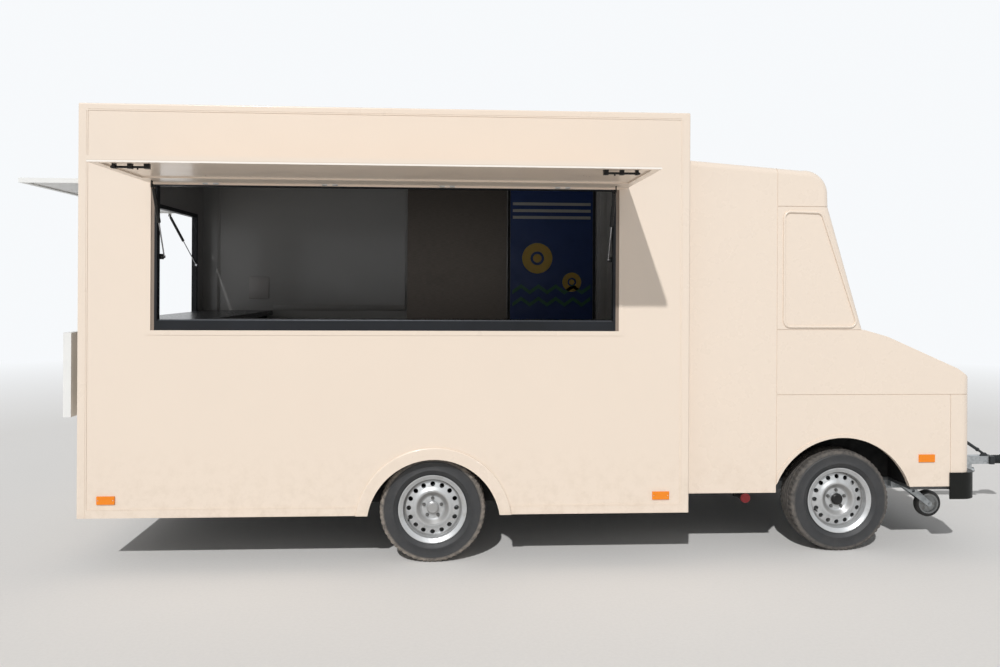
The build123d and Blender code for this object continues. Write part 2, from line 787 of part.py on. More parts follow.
# Brackets and pins for the struts, and the hatch's stay bars and latches
with BuildPart() as hatch_fittings:
    for x, outward in strut_places:
        plate = tuple(sorted((x + outward * pin_reach, x + outward * (pin_reach + 4))))
        block(plate, (strut_top_y - 12, strut_top_y + 12), (strut_top_z - 10, hatch_hinge_z))
        bar(
            (x - pin_reach, strut_top_y, strut_top_z), (x + pin_reach, strut_top_y, strut_top_z),
            eye_pin_radius,
        )
    for bolt_start, inward in (
        (opening_rear_x + bolt_rear_inset, 1), (opening_front_x - bolt_front_inset, -1),
    ):
        bolt_end = bolt_start + inward * bolt_length
        bolt_z = hatch_hinge_z + hatch_recess - bolt_drop
        bar((bolt_start, bolt_y, bolt_z), (bolt_end, bolt_y, bolt_z), bolt_radius)
        for share, guide_length in ((0.05, 16.0), (0.45, 22.0), (0.88, 26.0)):
            guide_x = bolt_start + inward * bolt_length * share
            guide_span = tuple(sorted((guide_x, guide_x + inward * guide_length)))
            block(guide_span, (bolt_y - 13, bolt_y + 13), (bolt_z - 9, hatch_hinge_z + hatch_recess))
        knob_x = bolt_start + inward * bolt_length * 0.7
        bar((knob_x, bolt_y, bolt_z), (knob_x, bolt_y, bolt_z - 13), 4)
hatch_fittings.part.label = "hatch_fittings"
export_step(hatch_fittings.part, "parts/hatch_fittings.step")

# Rear opening: frame, upper flap open level with its strut, lower counter flap folded down
flap_hinge_x = rear_x - hinge_offset
flap_hinge_z = lintel_height + hinge_rise
flap_near_y = rear_opening_near_y - flap_overlap
flap_far_y = rear_opening_far_y + flap_overlap
upper_inner_x = flap_hinge_x - leaf_start
upper_outer_x = upper_inner_x - upper_flap_depth
flap_hinge_ys = [rear_opening_near_y + rear_opening_width * share for share in (0.15, 0.5, 0.85)]

flap_pin_out = 161.0
flap_pin_drop = 24.0
rear_pin_depth = 60.0
rear_pin_drop = 438.0
rear_cylinder_length = 228.0
rear_strut_y = rear_opening_far_y - 30 - 14
rear_top = (flap_hinge_x - flap_pin_out, rear_strut_y, flap_hinge_z - flap_pin_drop)
rear_foot = (flap_hinge_x + rear_pin_depth, rear_strut_y, flap_hinge_z - rear_pin_drop)

with BuildPart() as rear_upper_flap:
    block(
        (upper_outer_x, upper_inner_x), (flap_near_y, flap_far_y),
        (flap_hinge_z, flap_hinge_z + flap_thick),
    )
    block(
        (upper_outer_x + 34, upper_inner_x - 34), (flap_near_y + 34, flap_far_y - 34),
        (flap_hinge_z, flap_hinge_z + 6), mode=Mode.SUBTRACT,
    )
    for y in flap_hinge_ys:
        bar(
            (flap_hinge_x, y - knuckle_half, flap_hinge_z),
            (flap_hinge_x, y + knuckle_half, flap_hinge_z), hinge_radius,
        )
        block(
            (upper_inner_x - 1, flap_hinge_x), (y - knuckle_half, y + knuckle_half),
            (flap_hinge_z, flap_hinge_z + hinge_radius),
        )
        bar(
            (flap_hinge_x, y - hinge_half, flap_hinge_z), (flap_hinge_x, y + hinge_half, flap_hinge_z),
            hinge_pin_radius + running_gap, mode=Mode.SUBTRACT,
        )
    block(
        (rear_top[0] - 12, rear_top[0] + 12), (rear_strut_y + pin_reach, rear_strut_y + pin_reach + 4),
        (rear_top[2] - 10, flap_hinge_z + 6),
    )
    pin_span = (rear_strut_y - pin_reach, rear_strut_y + pin_reach)
    bar((rear_top[0], pin_span[0], rear_top[2]), (rear_top[0], pin_span[1], rear_top[2]), eye_pin_radius)
rear_upper_flap.part.label = "rear_upper_flap"
export_step(rear_upper_flap.part, "parts/rear_upper_flap.step")

lower_hinge_x = rear_x - lower_flap_offset - lower_flap_thick - edge_gap - 2
lower_hinge_z = sill_height - 8
lower_flap_top = lower_hinge_z - leaf_start
lower_inner_x = lower_hinge_x - edge_gap - 2
lower_outer_x = lower_inner_x - lower_flap_thick

with BuildPart() as rear_lower_flap:
    block(
        (lower_outer_x, lower_inner_x), (flap_near_y, flap_far_y),
        (lower_flap_top - lower_flap_depth, lower_flap_top),
    )
    block(
        (lower_outer_x, lower_outer_x + 14), (flap_near_y + 22, flap_far_y - 22),
        (lower_flap_top - lower_flap_depth + 22, lower_flap_top - 22), mode=Mode.SUBTRACT,
    )
    for y in flap_hinge_ys:
        bar(
            (lower_hinge_x, y - knuckle_half, lower_hinge_z),
            (lower_hinge_x, y + knuckle_half, lower_hinge_z), hinge_radius,
        )
        block(
            (lower_inner_x - 6, lower_inner_x), (y - knuckle_half, y + knuckle_half),
            (lower_flap_top - 1, lower_hinge_z),
        )
        bar(
            (lower_hinge_x, y - hinge_half, lower_hinge_z),
            (lower_hinge_x, y + hinge_half, lower_hinge_z),
            hinge_pin_radius + running_gap, mode=Mode.SUBTRACT,
        )
rear_lower_flap.part.label = "rear_lower_flap"
export_step(rear_lower_flap.part, "parts/rear_lower_flap.step")

with BuildPart() as rear_hinges:
    for y in flap_hinge_ys:
        for start, end in (
            (y - hinge_half, y - knuckle_half - knuckle_gap), (y + knuckle_half + knuckle_gap, y + hinge_half),
        ):
            bar((flap_hinge_x, start, flap_hinge_z), (flap_hinge_x, end, flap_hinge_z), hinge_radius)
            block((flap_hinge_x, rear_x), (start, end), (flap_hinge_z, flap_hinge_z + hinge_radius))
            bar((lower_hinge_x, start, lower_hinge_z), (lower_hinge_x, end, lower_hinge_z), hinge_radius)
            block(
                (lower_hinge_x, rear_x), (start, end),
                (lower_hinge_z - hinge_radius, lower_hinge_z - 2),
            )
        block(
            (rear_x, rear_x + trim_proud), (y - hinge_half, y + hinge_half),
            (flap_hinge_z - 6, flap_hinge_z + 36),
        )
        block(
            (rear_x, rear_x + trim_proud), (y - hinge_half, y + hinge_half),
            (lower_hinge_z - 40, lower_hinge_z),
        )
        bar(
            (flap_hinge_x, y - hinge_half, flap_hinge_z),
            (flap_hinge_x, y + hinge_half, flap_hinge_z), hinge_pin_radius,
        )
        bar(
            (lower_hinge_x, y - hinge_half, lower_hinge_z),
            (lower_hinge_x, y + hinge_half, lower_hinge_z), hinge_pin_radius,
        )

with BuildPart() as fixed_hinges:
    add(door_hinges.part)
    add(hatch_hinges.part)
    add(rear_hinges.part)
fixed_hinges.part.label = "fixed_hinges"
export_step(fixed_hinges.part, "parts/fixed_hinges.step")

with BuildPart() as rear_cylinder:
    add_cylinder(rear_top, rear_foot, (0, 1, 0), rear_cylinder_length)
rear_cylinder.part.label = "rear_cylinder"
export_step(rear_cylinder.part, "parts/rear_cylinder.step")

with BuildPart() as rear_rod:
    add_rod(rear_top, rear_foot, (0, 1, 0), rear_cylinder_length)
rear_rod.part.label = "rear_rod"
export_step(rear_rod.part, "parts/rear_rod.step")

# Fixed brackets on the jambs, one for each strut's foot
with BuildPart() as jamb_pins:
    for x, outward in strut_places:
        plate = tuple(sorted((x + outward * pin_reach, x + outward * 34)))
        block(plate, (dark_inner_y, strut_foot_y + 14), (strut_foot_z - 16, strut_foot_z + 16))
    block(
        (rear_x + 16, rear_foot[0] + 14), (rear_strut_y + pin_reach, rear_opening_far_y - 30),
        (rear_foot[2] - 16, rear_foot[2] + 16),
    )
jamb_pins.part.label = "jamb_pins"
export_step(jamb_pins.part, "parts/jamb_pins.step")

# Cab: one hollow body from a side profile, split where its panels meet
cab_roof_rear = 2486.0
cab_roof_front = (755.0, 2428.0)
cap_round = (882.0, 2386.0)
cap_front = (927.0, 2290.0)
screen_top = (930.0, cap_bottom)
screen_foot = (1157.0, belt_height)
scuttle_top = (1314.0, 1375.0)
bonnet_front = (1774.0, 1173.0)
bonnet_lip = (nose_reach, 1109.0)
roof_round = 40.0
nose_round = 60.0
seam_width = 4.0
seam_depth = 4.0


def cab_profile(inset):
    # The cab's side outline on the centre plane, moved in by a distance.
    with BuildSketch(Plane.XZ.offset(-mid_y)) as profile:
        with BuildLine():
            roof = Polyline(
                (front_x, cab_bottom), (front_x, cab_roof_rear),
                (front_x + cab_roof_front[0], cab_roof_front[1]),
            )
            cap = ThreePointArc(
                roof @ 1, (front_x + cap_round[0], cap_round[1]), (front_x + cap_front[0], cap_front[1])
            )
            front = [
                (front_x + reach, height)
                for reach, height in (screen_top, screen_foot, scuttle_top, bonnet_front, bonnet_lip)
            ]
            Polyline(cap @ 1, *front, (nose_x, cab_bottom), (front_x, cab_bottom))
        make_face()
        if inset:
            offset(amount=-inset, kind=Kind.INTERSECTION)
    return profile.sketch


def cab_form(inset):
    # The cab's closed outer form, moved in by a distance.
    with BuildPart() as form:
        extrude(cab_profile(inset), amount=cab_half_width - inset, both=True)
        side_face = cab_half_width - inset
        top_edges = [
            edge
            for edge in form.edges()
            if edge.center().Z > belt_height + 5
            and abs(abs(edge.center().Y - mid_y) - side_face) < 1
            and edge.center().X > front_x + inset + 5
        ]
        fillet(top_edges, roof_round - inset)
        nose_edges = form.edges().filter_by(Axis.Z).filter_by(
            lambda edge: edge.center().X > nose_x - inset - 1 and edge.length > 300
        )
        fillet(nose_edges, nose_round - inset)
    return form.part


cab_y = (mid_y - cab_half_width - 1, mid_y + cab_half_width + 1)
cab_top = cab_roof_rear + 14
pillar_width = 62.0
middle_y = (mid_y - cab_half_width + pillar_width, mid_y + cab_half_width - pillar_width)


def seam(centre):
    # The two faces of a groove about a seam.
    return (centre - seam_width / 2, centre + seam_width / 2)


# Shallow grooves in the outer skin where two panels meet
with BuildPart(mode=Mode.PRIVATE) as seam_grooves:
    block(seam(seam_x), cab_y, (cab_bottom, cab_top))
    for height in (cap_bottom, belt_height, waist_height):
        block((seam_x, nose_x + 1), cab_y, seam(height))
    block(seam(nose_seam_x), cab_y, (cab_bottom, waist_height))
    for y in middle_y:
        block((seam_x, nose_x + 1), seam(y), (waist_height, cap_bottom))
    add(cab_form(seam_depth), mode=Mode.SUBTRACT)

with BuildPart(mode=Mode.PRIVATE) as cab_body:
    add(cab_form(0))
    extrude(cab_profile(cab_sheet), amount=cab_half_width - cab_sheet, both=True, mode=Mode.SUBTRACT)
    inner_y = (mid_y - cab_half_width + cab_sheet, mid_y + cab_half_width - cab_sheet)
    block((front_x - 1, front_x + cab_sheet + 1), inner_y, (cab_bottom - 1, 2452), mode=Mode.SUBTRACT)
    block(
        (front_x - 1, nose_x - cab_sheet), inner_y, (cab_bottom - 1, cab_bottom + cab_sheet + 1),
        mode=Mode.SUBTRACT,
    )
    add(seam_grooves.part, mode=Mode.SUBTRACT)


with BuildPart() as cab_hoop:
    add(cab_body.part)
    block((front_x, seam_x), cab_y, (cab_bottom, 2500), mode=Mode.INTERSECT)
cab_hoop.part.label = "cab_hoop"
export_step(cab_hoop.part, "parts/cab_hoop.step")

with BuildPart() as cab_cap:
    add(cab_body.part)
    block((seam_x, nose_x), cab_y, (cap_bottom, 2500), mode=Mode.INTERSECT)
cab_cap.part.label = "cab_cap"
export_step(cab_cap.part, "parts/cab_cap.step")

with BuildPart() as windscreen_blank:
    add(cab_body.part)
    block((seam_x, nose_x), middle_y, (belt_height, cap_bottom), mode=Mode.INTERSECT)
windscreen_blank.part.label = "windscreen_blank"
export_step(windscreen_blank.part, "parts/windscreen_blank.step")

with BuildPart() as bonnet:
    add(cab_body.part)
    block((seam_x, nose_x + 1), middle_y, (waist_height, belt_height), mode=Mode.INTERSECT)
bonnet.part.label = "bonnet"
export_step(bonnet.part, "parts/bonnet.step")

# Window outline on the cab side, with its raised bead
window_corners = ((631.0, 1430.0), (631.0, 2171.0), (883.0, 2165.0), (1128.0, 1430.0))
bead_width = 14.0
bead_proud = 6.0
window_corner_radius = 46.0

for side_name, side in sides.items():
    outer_y = mid_y + side * (cab_half_width + 1)
    inner = middle_y[0] if side < 0 else middle_y[1]
    with BuildPart() as cab_panel:
        add(cab_body.part)
        block(
            (seam_x, nose_x + 1), tuple(sorted((outer_y, inner))), (waist_height, cap_bottom),
            mode=Mode.INTERSECT,
        )
        with BuildSketch(Plane.XZ.offset(-(mid_y + side * (cab_half_width - 2)))):
            with BuildLine():
                Polyline(*[(front_x + reach, height) for reach, height in window_corners], close=True)
            make_face()
            fillet(vertices(), window_corner_radius)
            offset(amount=-bead_width, mode=Mode.SUBTRACT)
        extrude(amount=-side * (bead_proud + 2))
    cab_panel.part.label = f"cab_side_{side_name}"
    export_step(cab_panel.part, f"parts/cab_side_{side_name}.step")

with BuildPart() as fenders:
    add(cab_body.part)
    block((seam_x, nose_seam_x), cab_y, (fender_bottom, waist_height), mode=Mode.INTERSECT)
    block(
        (seam_x - 1, nose_seam_x + 1), middle_y, (fender_bottom - 1, waist_height + 1),
        mode=Mode.SUBTRACT,
    )
    with BuildSketch(Plane.XZ.offset(-mid_y)):
        with Locations((front_arch_x, front_arch_height)):
            Circle(front_arch_radius)
    extrude(amount=half_width, both=True, mode=Mode.SUBTRACT)
    for side in sides.values():
        with BuildSketch(Plane.XZ.offset(-(mid_y + side * (cab_half_width - 1)))):
            with Locations((front_arch_x, front_arch_height)):
                Circle(front_arch_radius + lip_width)
                Circle(front_arch_radius, mode=Mode.SUBTRACT)
            with Locations(((seam_x + nose_seam_x) / 2, fender_bottom)):
                Rectangle(
                    nose_seam_x - seam_x - 8, waist_height - fender_bottom,
                    align=(Align.CENTER, Align.MIN), mode=Mode.INTERSECT,
                )
        extrude(amount=-side * (lip_proud + 1))
fenders.part.label = "fenders"
export_step(fenders.part, "parts/fenders.step")

with BuildPart() as nose_panel:
    add(cab_body.part)
    block((nose_seam_x, nose_x + 1), cab_y, (fender_bottom, waist_height), mode=Mode.INTERSECT)
nose_panel.part.label = "nose_panel"
export_step(nose_panel.part, "parts/nose_panel.step")

with BuildPart() as cab_floor:
    block(
        (front_x, nose_x - cab_sheet - 1), (inner_y[0] + 1, inner_y[1] - 1),
        (floor_bottom, floor_bottom + 20),
    )
    for side in sides.values():
        end, liner_rear_x, liner_front_x, outer, inner, top = liner_table[1]
        block(
            (liner_rear_x, liner_front_x), side_span(side, inner, outer),
            (floor_bottom, floor_bottom + 20), mode=Mode.SUBTRACT,
        )
cab_floor.part.label = "cab_floor"
export_step(cab_floor.part, "parts/cab_floor.step")

# Bumper round the nose, notched for the drawbar
bumper_top = 509.0
bumper_front = 54.0
bumper_round = 110.0
bumper_side = 9.0
bumper_back = 145.0
drawbar_notch = 170.0
drawbar_size = 60.0

with BuildPart() as bumper:
    with BuildSketch(Plane.XY.offset(bumper_bottom)):
        with Locations((nose_x + bumper_front, mid_y)):
            Rectangle(
                bumper_front + bumper_back, 2 * (cab_half_width + bumper_side),
                align=(Align.MAX, Align.CENTER),
            )
        fillet(vertices().group_by(Axis.X)[-1], bumper_round)
        with Locations((nose_x + seat_gap, mid_y)):
            RectangleRounded(
                600, 2 * (cab_half_width + seat_gap), nose_round + seat_gap,
                align=(Align.MAX, Align.CENTER),
                mode=Mode.SUBTRACT,
            )
    extrude(amount=bumper_top - bumper_bottom)
    block(
        (nose_x - 1, nose_x + bumper_front + 1), (mid_y - drawbar_notch / 2, mid_y + drawbar_notch / 2),
        (bumper_bottom - 1, drawbar_height + drawbar_size / 2 + 14), mode=Mode.SUBTRACT,
    )
bumper.part.label = "bumper"
export_step(bumper.part, "parts/bumper.step")

# Drawbar: a square tube on the centre with two legs to the long members
drawbar_rear_x = rear_x + cross_stations[-1] + member_half
drawbar_front_x = front_x + 2680.0
leg_front_x = front_x + 1820.0
leg_run = 100.0
tube_wall = 5.0
plug_bracket_x = front_x + 2500.0
plug_radius = 20.0
drawbar_bottom = drawbar_height - drawbar_size / 2

with BuildPart() as drawbar:
    block(
        (drawbar_rear_x, drawbar_front_x), (mid_y - drawbar_size / 2, mid_y + drawbar_size / 2),
        (drawbar_bottom, drawbar_bottom + drawbar_size),
    )
    block(
        (drawbar_rear_x - 1, drawbar_front_x + 1),
        (mid_y - drawbar_size / 2 + tube_wall, mid_y + drawbar_size / 2 - tube_wall),
        (drawbar_bottom + tube_wall, drawbar_bottom + drawbar_size - tube_wall), mode=Mode.SUBTRACT,
    )
    for side in sides.values():
        with BuildSketch(Plane.XY.offset(drawbar_bottom)):
            with BuildLine():
                inner = mid_y + side * drawbar_size / 2
                outer = mid_y + side * (beam_y - beam_width / 2)
                Polyline(
                    (drawbar_rear_x + 20, outer), (drawbar_rear_x + leg_run, outer),
                    (leg_front_x, inner), (leg_front_x - 80, inner), close=True,
                )
            make_face()
        extrude(amount=drawbar_size)
    block(
        (plug_bracket_x, plug_bracket_x + 50), (mid_y - 22, mid_y + 22),
        (drawbar_bottom - 80, drawbar_bottom),
    )
    bar(
        (plug_bracket_x + 50, mid_y, drawbar_bottom - 50),
        (plug_bracket_x + 76, mid_y, drawbar_bottom - 50),
        plug_radius,
    )
drawbar.part.label = "drawbar"
export_step(drawbar.part, "parts/drawbar.step")

# Coupling head on the drawbar's end, with a socket for a 50 mm ball
ball_radius = 25.0
coupling_half = 45.0
coupling_ball_x = front_x + coupling_tip_reach - coupling_half
bellows_ridges = 6
bellows_root = 26.0
bellows_ridge = 33.0
handle_outline = ((-58, 26), (-58, 44), (-34, 60), (24, 62), (36, 54), (30, 48), (-20, 46), (-8, 26))

with BuildPart() as coupling_head:
    with BuildSketch(Plane.XY.offset(drawbar_bottom)):
        with Locations((drawbar_front_x, mid_y)):
            Rectangle(40, 100, align=(Align.MIN, Align.CENTER))
        fillet(vertices(), 12)
    extrude(amount=drawbar_size)
    # Bellows: a row of ridges round the sliding shaft
    bellows_start = drawbar_front_x + 40
    bellows_end = coupling_ball_x - 50
    bellows_step = (bellows_end - bellows_start) / bellows_ridges
    outline = [(bellows_start - 1, 0), (bellows_start - 1, bellows_root)]
    for index in range(bellows_ridges):
        ridge_x = bellows_start + index * bellows_step
        outline.append((ridge_x + 0.2 * bellows_step, bellows_root))
        outline.append((ridge_x + 0.5 * bellows_step, bellows_ridge))
        outline.append((ridge_x + 0.8 * bellows_step, bellows_root))
    outline.append((bellows_end + 6, bellows_root))
    outline.append((bellows_end + 6, 0))
    shaft_plane = Plane(origin=(0, mid_y, drawbar_height), x_dir=(1, 0, 0), z_dir=(0, -1, 0))
    with BuildSketch(shaft_plane):
        with BuildLine():
            Polyline(*outline, close=True)
        make_face()
    revolve(axis=Axis((0, mid_y, drawbar_height), (1, 0, 0)), revolution_arc=360)
    with BuildSketch(Plane.XY.offset(drawbar_height - 16)):
        with Locations((coupling_ball_x, mid_y)):
            Circle(coupling_half)
        with Locations((bellows_end, mid_y)):
            Rectangle(20, 64)
        make_hull()
    extrude(amount=46)
    # The handle on top that opens the coupling
    with BuildSketch(Plane.XZ.offset(-mid_y)):
        with BuildLine():
            Polyline(
                *[(coupling_ball_x + run, drawbar_height + rise) for run, rise in handle_outline],
                close=True,
            )
        make_face()
    extrude(amount=16, both=True)
    with Locations((coupling_ball_x, mid_y, drawbar_height)):
        Sphere(ball_radius + 0.5, mode=Mode.SUBTRACT)
    bar(
        (coupling_ball_x, mid_y, drawbar_height - 30), (coupling_ball_x, mid_y, drawbar_height),
        ball_radius + 0.5, mode=Mode.SUBTRACT,
    )
coupling_head.part.label = "coupling_head"
export_step(coupling_head.part, "parts/coupling_head.step")

with BuildPart() as hand_brake:
    lever_y = mid_y - 20
    lever_foot = (drawbar_front_x - 30, lever_y, drawbar_height + 44)
    lever_top = (drawbar_front_x - 170, lever_y, drawbar_height + 136)
    with BuildSketch(Plane.XZ.offset(-lever_y)):
        with BuildLine():
            Polyline(
                (lever_foot[0] - 34, drawbar_bottom + drawbar_size),
                (lever_foot[0] - 34, lever_foot[2] - 8),
                (lever_foot[0] - 22, lever_foot[2] + 8), (lever_foot[0] + 8, lever_foot[2] + 12),
                (lever_foot[0] + 26, lever_foot[2] - 4),
                (lever_foot[0] + 26, drawbar_bottom + drawbar_size),
                close=True,
            )
        make_face()
    extrude(amount=6, both=True)
    bar(lever_foot, lever_top, 9)
    bar(along(lever_foot, lever_top, 70), lever_top, 12)
    bar(along(lever_foot, lever_top, 60), along(lever_foot, lever_top, 70), 15)
    bar(lever_top, along(lever_foot, lever_top, 180), 6)
hand_brake.part.label = "hand_brake"
export_step(hand_brake.part, "parts/hand_brake.step")

# Jockey wheel, stowed under the nose on a swinging leg beside the near long member
jockey_y = mid_y - 600.0
jockey_pivot = (front_x + 1660.0, jockey_y, 345.0)
jockey_hub = (front_x + 1855.0, jockey_y, 190.0)
jockey_radius = 91.0
fork_half = 31.0
fork_plate = 5.0
jockey_axle_radius = 8.0
pivot_radius = 10.0
fork_plane = Plane(
    origin=jockey_pivot, x_dir=Vector(*jockey_hub) - Vector(*jockey_pivot), z_dir=(0, -1, 0)
)
fork_length = (Vector(*jockey_hub) - Vector(*jockey_pivot)).length

with BuildPart() as jockey_bracket:
    block(
        (jockey_pivot[0] - 40, jockey_pivot[0] + 40),
        (jockey_y + fork_half + fork_plate + 6, mid_y - beam_y - beam_width / 2),
        (beam_bottom + 20, floor_bottom - 5),
    )
    bar(
        (jockey_pivot[0], jockey_y - fork_half - fork_plate - 4, jockey_pivot[2]),
        (jockey_pivot[0], jockey_y + fork_half + fork_plate + 8, jockey_pivot[2]), pivot_radius,
    )
jockey_bracket.part.label = "jockey_bracket"
export_step(jockey_bracket.part, "parts/jockey_bracket.step")

with BuildPart() as jockey_leg:
    for offset_out in (-fork_half - fork_plate, fork_half):
        with BuildSketch(fork_plane.offset(offset_out)):
            with Locations((0, 0)):
                Circle(26)
            with Locations((fork_length, 0)):
                Circle(18)
            make_hull()
            with Locations((0, 0)):
                Circle(pivot_radius + running_gap, mode=Mode.SUBTRACT)
            with Locations((fork_length, 0)):
                Circle(jockey_axle_radius, mode=Mode.SUBTRACT)
            with Locations((55, 0), (100, 0)):
                Circle(11, mode=Mode.SUBTRACT)
        extrude(amount=fork_plate)
    with BuildSketch(fork_plane.offset(-fork_half)):
        with Locations((78, 0)):
            Rectangle(12, 34)
    extrude(amount=2 * fork_half)
    with BuildSketch(fork_plane.offset(-fork_half - fork_plate - 3)):
        with Locations((fork_length, 0)):
            Circle(jockey_axle_radius)
    extrude(amount=2 * (fork_half + fork_plate + 3))
jockey_leg.part.label = "jockey_leg"
export_step(jockey_leg.part, "parts/jockey_leg.step")

with BuildPart() as jockey_wheel:
    with BuildSketch(Plane(origin=jockey_hub, x_dir=(1, 0, 0), z_dir=(0, 0, 1))):
        with BuildLine():
            Polyline(
                (jockey_axle_radius + running_gap, -26), (20, -26), (20, -8), (55, -8), (60, -20),
                (76, -25),
                (jockey_radius - 8, -22), (jockey_radius, -12), (jockey_radius, 12),
                (jockey_radius - 8, 22),
                (76, 25), (60, 20), (55, 8), (20, 8), (20, 26),
                (jockey_axle_radius + running_gap, 26), close=True,
            )
        make_face()
    revolve(axis=Axis(jockey_hub, (0, 1, 0)), revolution_arc=360)
jockey_wheel.part.label = "jockey_wheel"
export_step(jockey_wheel.part, "parts/jockey_wheel.step")

# Waste pipe under the cab, with a round red cap facing the near side
waste_x = front_x + 458.0
waste_z = 314.0
waste_radius = 26.0
waste_end_y = mid_y - 895.0

with BuildPart() as waste_pipe:
    bar((waste_x, mid_y - 740, waste_z), (waste_x, waste_end_y, waste_z), waste_radius)
    bar(
        (waste_x, mid_y - 740, waste_z - waste_radius), (waste_x, mid_y - 740, floor_bottom),
        waste_radius,
    )
waste_pipe.part.label = "waste_pipe"
export_step(waste_pipe.part, "parts/waste_pipe.step")

with BuildPart() as waste_cap:
    bar((waste_x, waste_end_y, waste_z), (waste_x, waste_end_y - 14, waste_z), waste_radius + 5)
waste_cap.part.label = "waste_cap"
export_step(waste_cap.part, "parts/waste_cap.step")

# Lamps: orange side markers, round nose lamps, rear clusters and a blank plate
marker_size = (104.0, 48.0)
marker_proud = 8.0
# Each marker's station, height and whether it sits on the cab
marker_places = (
    (169.0, 411.0, False), (box_length - 175, 411.0, False), (box_length + 1570, 602.0, True),
)

with BuildPart() as side_markers:
    for side in sides.values():
        for station, height, on_cab in marker_places:
            face = cab_half_width if on_cab else half_width - trim_proud
            block(
                (rear_x + station - marker_size[0] / 2, rear_x + station + marker_size[0] / 2),
                side_span(side, face, face + marker_proud),
                (height - marker_size[1] / 2, height + marker_size[1] / 2),
            )
side_markers.part.label = "side_markers"
export_step(side_markers.part, "parts/side_markers.step")

lamp_height = 945.0
lamp_inset = 210.0

with BuildPart() as nose_lamps:
    for side in sides.values():
        lamp_y = mid_y + side * (cab_half_width - lamp_inset)
        for lamp_proud, lamp_radius in ((8, 88), (14, 80), (18, 62)):
            bar((nose_x, lamp_y, lamp_height), (nose_x + lamp_proud, lamp_y, lamp_height), lamp_radius)
nose_lamps.part.label = "nose_lamps"
export_step(nose_lamps.part, "parts/nose_lamps.step")

cluster_proud = 26.0
lens_radius = 42.0

with BuildPart() as rear_lamps:
    for side in sides.values():
        block((rear_x - cluster_proud, rear_x + trim_proud), side_span(side, 990, 1110), (420, 700))
        for lens_height in (468, 560, 652):
            lens_y = mid_y + side * 1050
            bar(
                (rear_x - cluster_proud, lens_y, lens_height),
                (rear_x - cluster_proud - 6, lens_y, lens_height),
                lens_radius,
            )
rear_lamps.part.label = "rear_lamps"
export_step(rear_lamps.part, "parts/rear_lamps.step")
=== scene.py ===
import bmesh
import bpy
import math
from mathutils import Matrix, Vector


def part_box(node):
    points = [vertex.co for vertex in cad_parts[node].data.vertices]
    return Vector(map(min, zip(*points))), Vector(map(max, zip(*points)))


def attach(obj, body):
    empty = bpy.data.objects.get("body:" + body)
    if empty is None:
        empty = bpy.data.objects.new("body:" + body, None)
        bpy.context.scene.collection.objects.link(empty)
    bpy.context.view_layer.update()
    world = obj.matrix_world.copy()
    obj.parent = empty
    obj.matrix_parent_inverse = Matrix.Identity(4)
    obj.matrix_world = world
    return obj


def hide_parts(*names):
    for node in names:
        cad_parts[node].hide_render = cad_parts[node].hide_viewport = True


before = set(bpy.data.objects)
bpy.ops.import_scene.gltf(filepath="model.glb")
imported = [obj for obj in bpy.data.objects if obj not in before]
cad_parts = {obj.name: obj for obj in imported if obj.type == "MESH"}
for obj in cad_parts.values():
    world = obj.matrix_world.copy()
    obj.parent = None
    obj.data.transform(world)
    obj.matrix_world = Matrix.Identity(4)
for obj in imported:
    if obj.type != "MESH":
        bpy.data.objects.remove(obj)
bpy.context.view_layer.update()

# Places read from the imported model, in metres
boxLow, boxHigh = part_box("edge_trims")
rearX, frontX = boxLow.x, boxHigh.x
nearWallLow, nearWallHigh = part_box("near_wall")
farWallLow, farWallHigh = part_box("far_wall")
nearY, nearInnerY = nearWallLow.y, nearWallHigh.y
farInnerY, farY = farWallLow.y, farWallHigh.y
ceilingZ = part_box("roof_panel")[0].z
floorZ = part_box("floor_panel")[1].z

print("stage 1: helpers")


def linkObject(name, mesh):
    thing = bpy.data.objects.new(name, mesh)
    bpy.context.collection.objects.link(thing)
    return thing


def finishPiece(name, bm, finish, body, smooth=35.0, bevel=0.0):
    # turns a bmesh into a named piece with a finish, riding on a body
    mesh = bpy.data.meshes.new(name)
    bmesh.ops.recalc_face_normals(bm, faces=bm.faces[:])
    bm.to_mesh(mesh)
    bm.free()
    thing = linkObject(name, mesh)
    mesh.materials.append(finish)
    if bevel:
        edge = thing.modifiers.new("softEdges", "BEVEL")
        edge.width, edge.segments, edge.limit_method = bevel, 2, "ANGLE"
        edge.angle_limit = math.radians(40)
    mesh.shade_smooth()
    thing.modifiers.new("creases", "EDGE_SPLIT").split_angle = math.radians(smooth)
    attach(thing, body)
    return thing


def addBlock(bm, low, high):
    # a block between two corners
    corners = [
        Vector((x, y, z))
        for x in (low[0], high[0]) for y in (low[1], high[1]) for z in (low[2], high[2])
    ]
    made = [bm.verts.new(corner) for corner in corners]
    for loop in ((0, 1, 3, 2), (4, 6, 7, 5), (0, 4, 5, 1), (2, 3, 7, 6), (0, 2, 6, 4), (1, 5, 7, 3)):
        bm.faces.new([made[i] for i in loop])


def addLathe(bm, profile, segments, place, closed=False):
    # profile points (radius, along) turned about the local Z of a placing matrix
    rings = []
    for step in range(segments):
        angle = 2 * math.pi * step / segments
        rings.append([
            bm.verts.new(place @ Vector((r * math.cos(angle), r * math.sin(angle), h)))
            for r, h in profile
        ])
    count = len(profile)
    for step in range(segments):
        here, there = rings[step], rings[(step + 1) % segments]
        for i in range(count if closed else count - 1):
            bm.faces.new((here[i], there[i], there[(i + 1) % count], here[(i + 1) % count]))
    if not closed:
        bm.faces.new([ring[0] for ring in rings])
        bm.faces.new([ring[-1] for ring in reversed(rings)])


def facing(origin, direction):
    # a placing matrix whose Z points along a direction
    return Matrix.Translation(origin) @ Vector(direction).to_track_quat("Z", "Y").to_matrix().to_4x4()


print("stage 2: finishes")


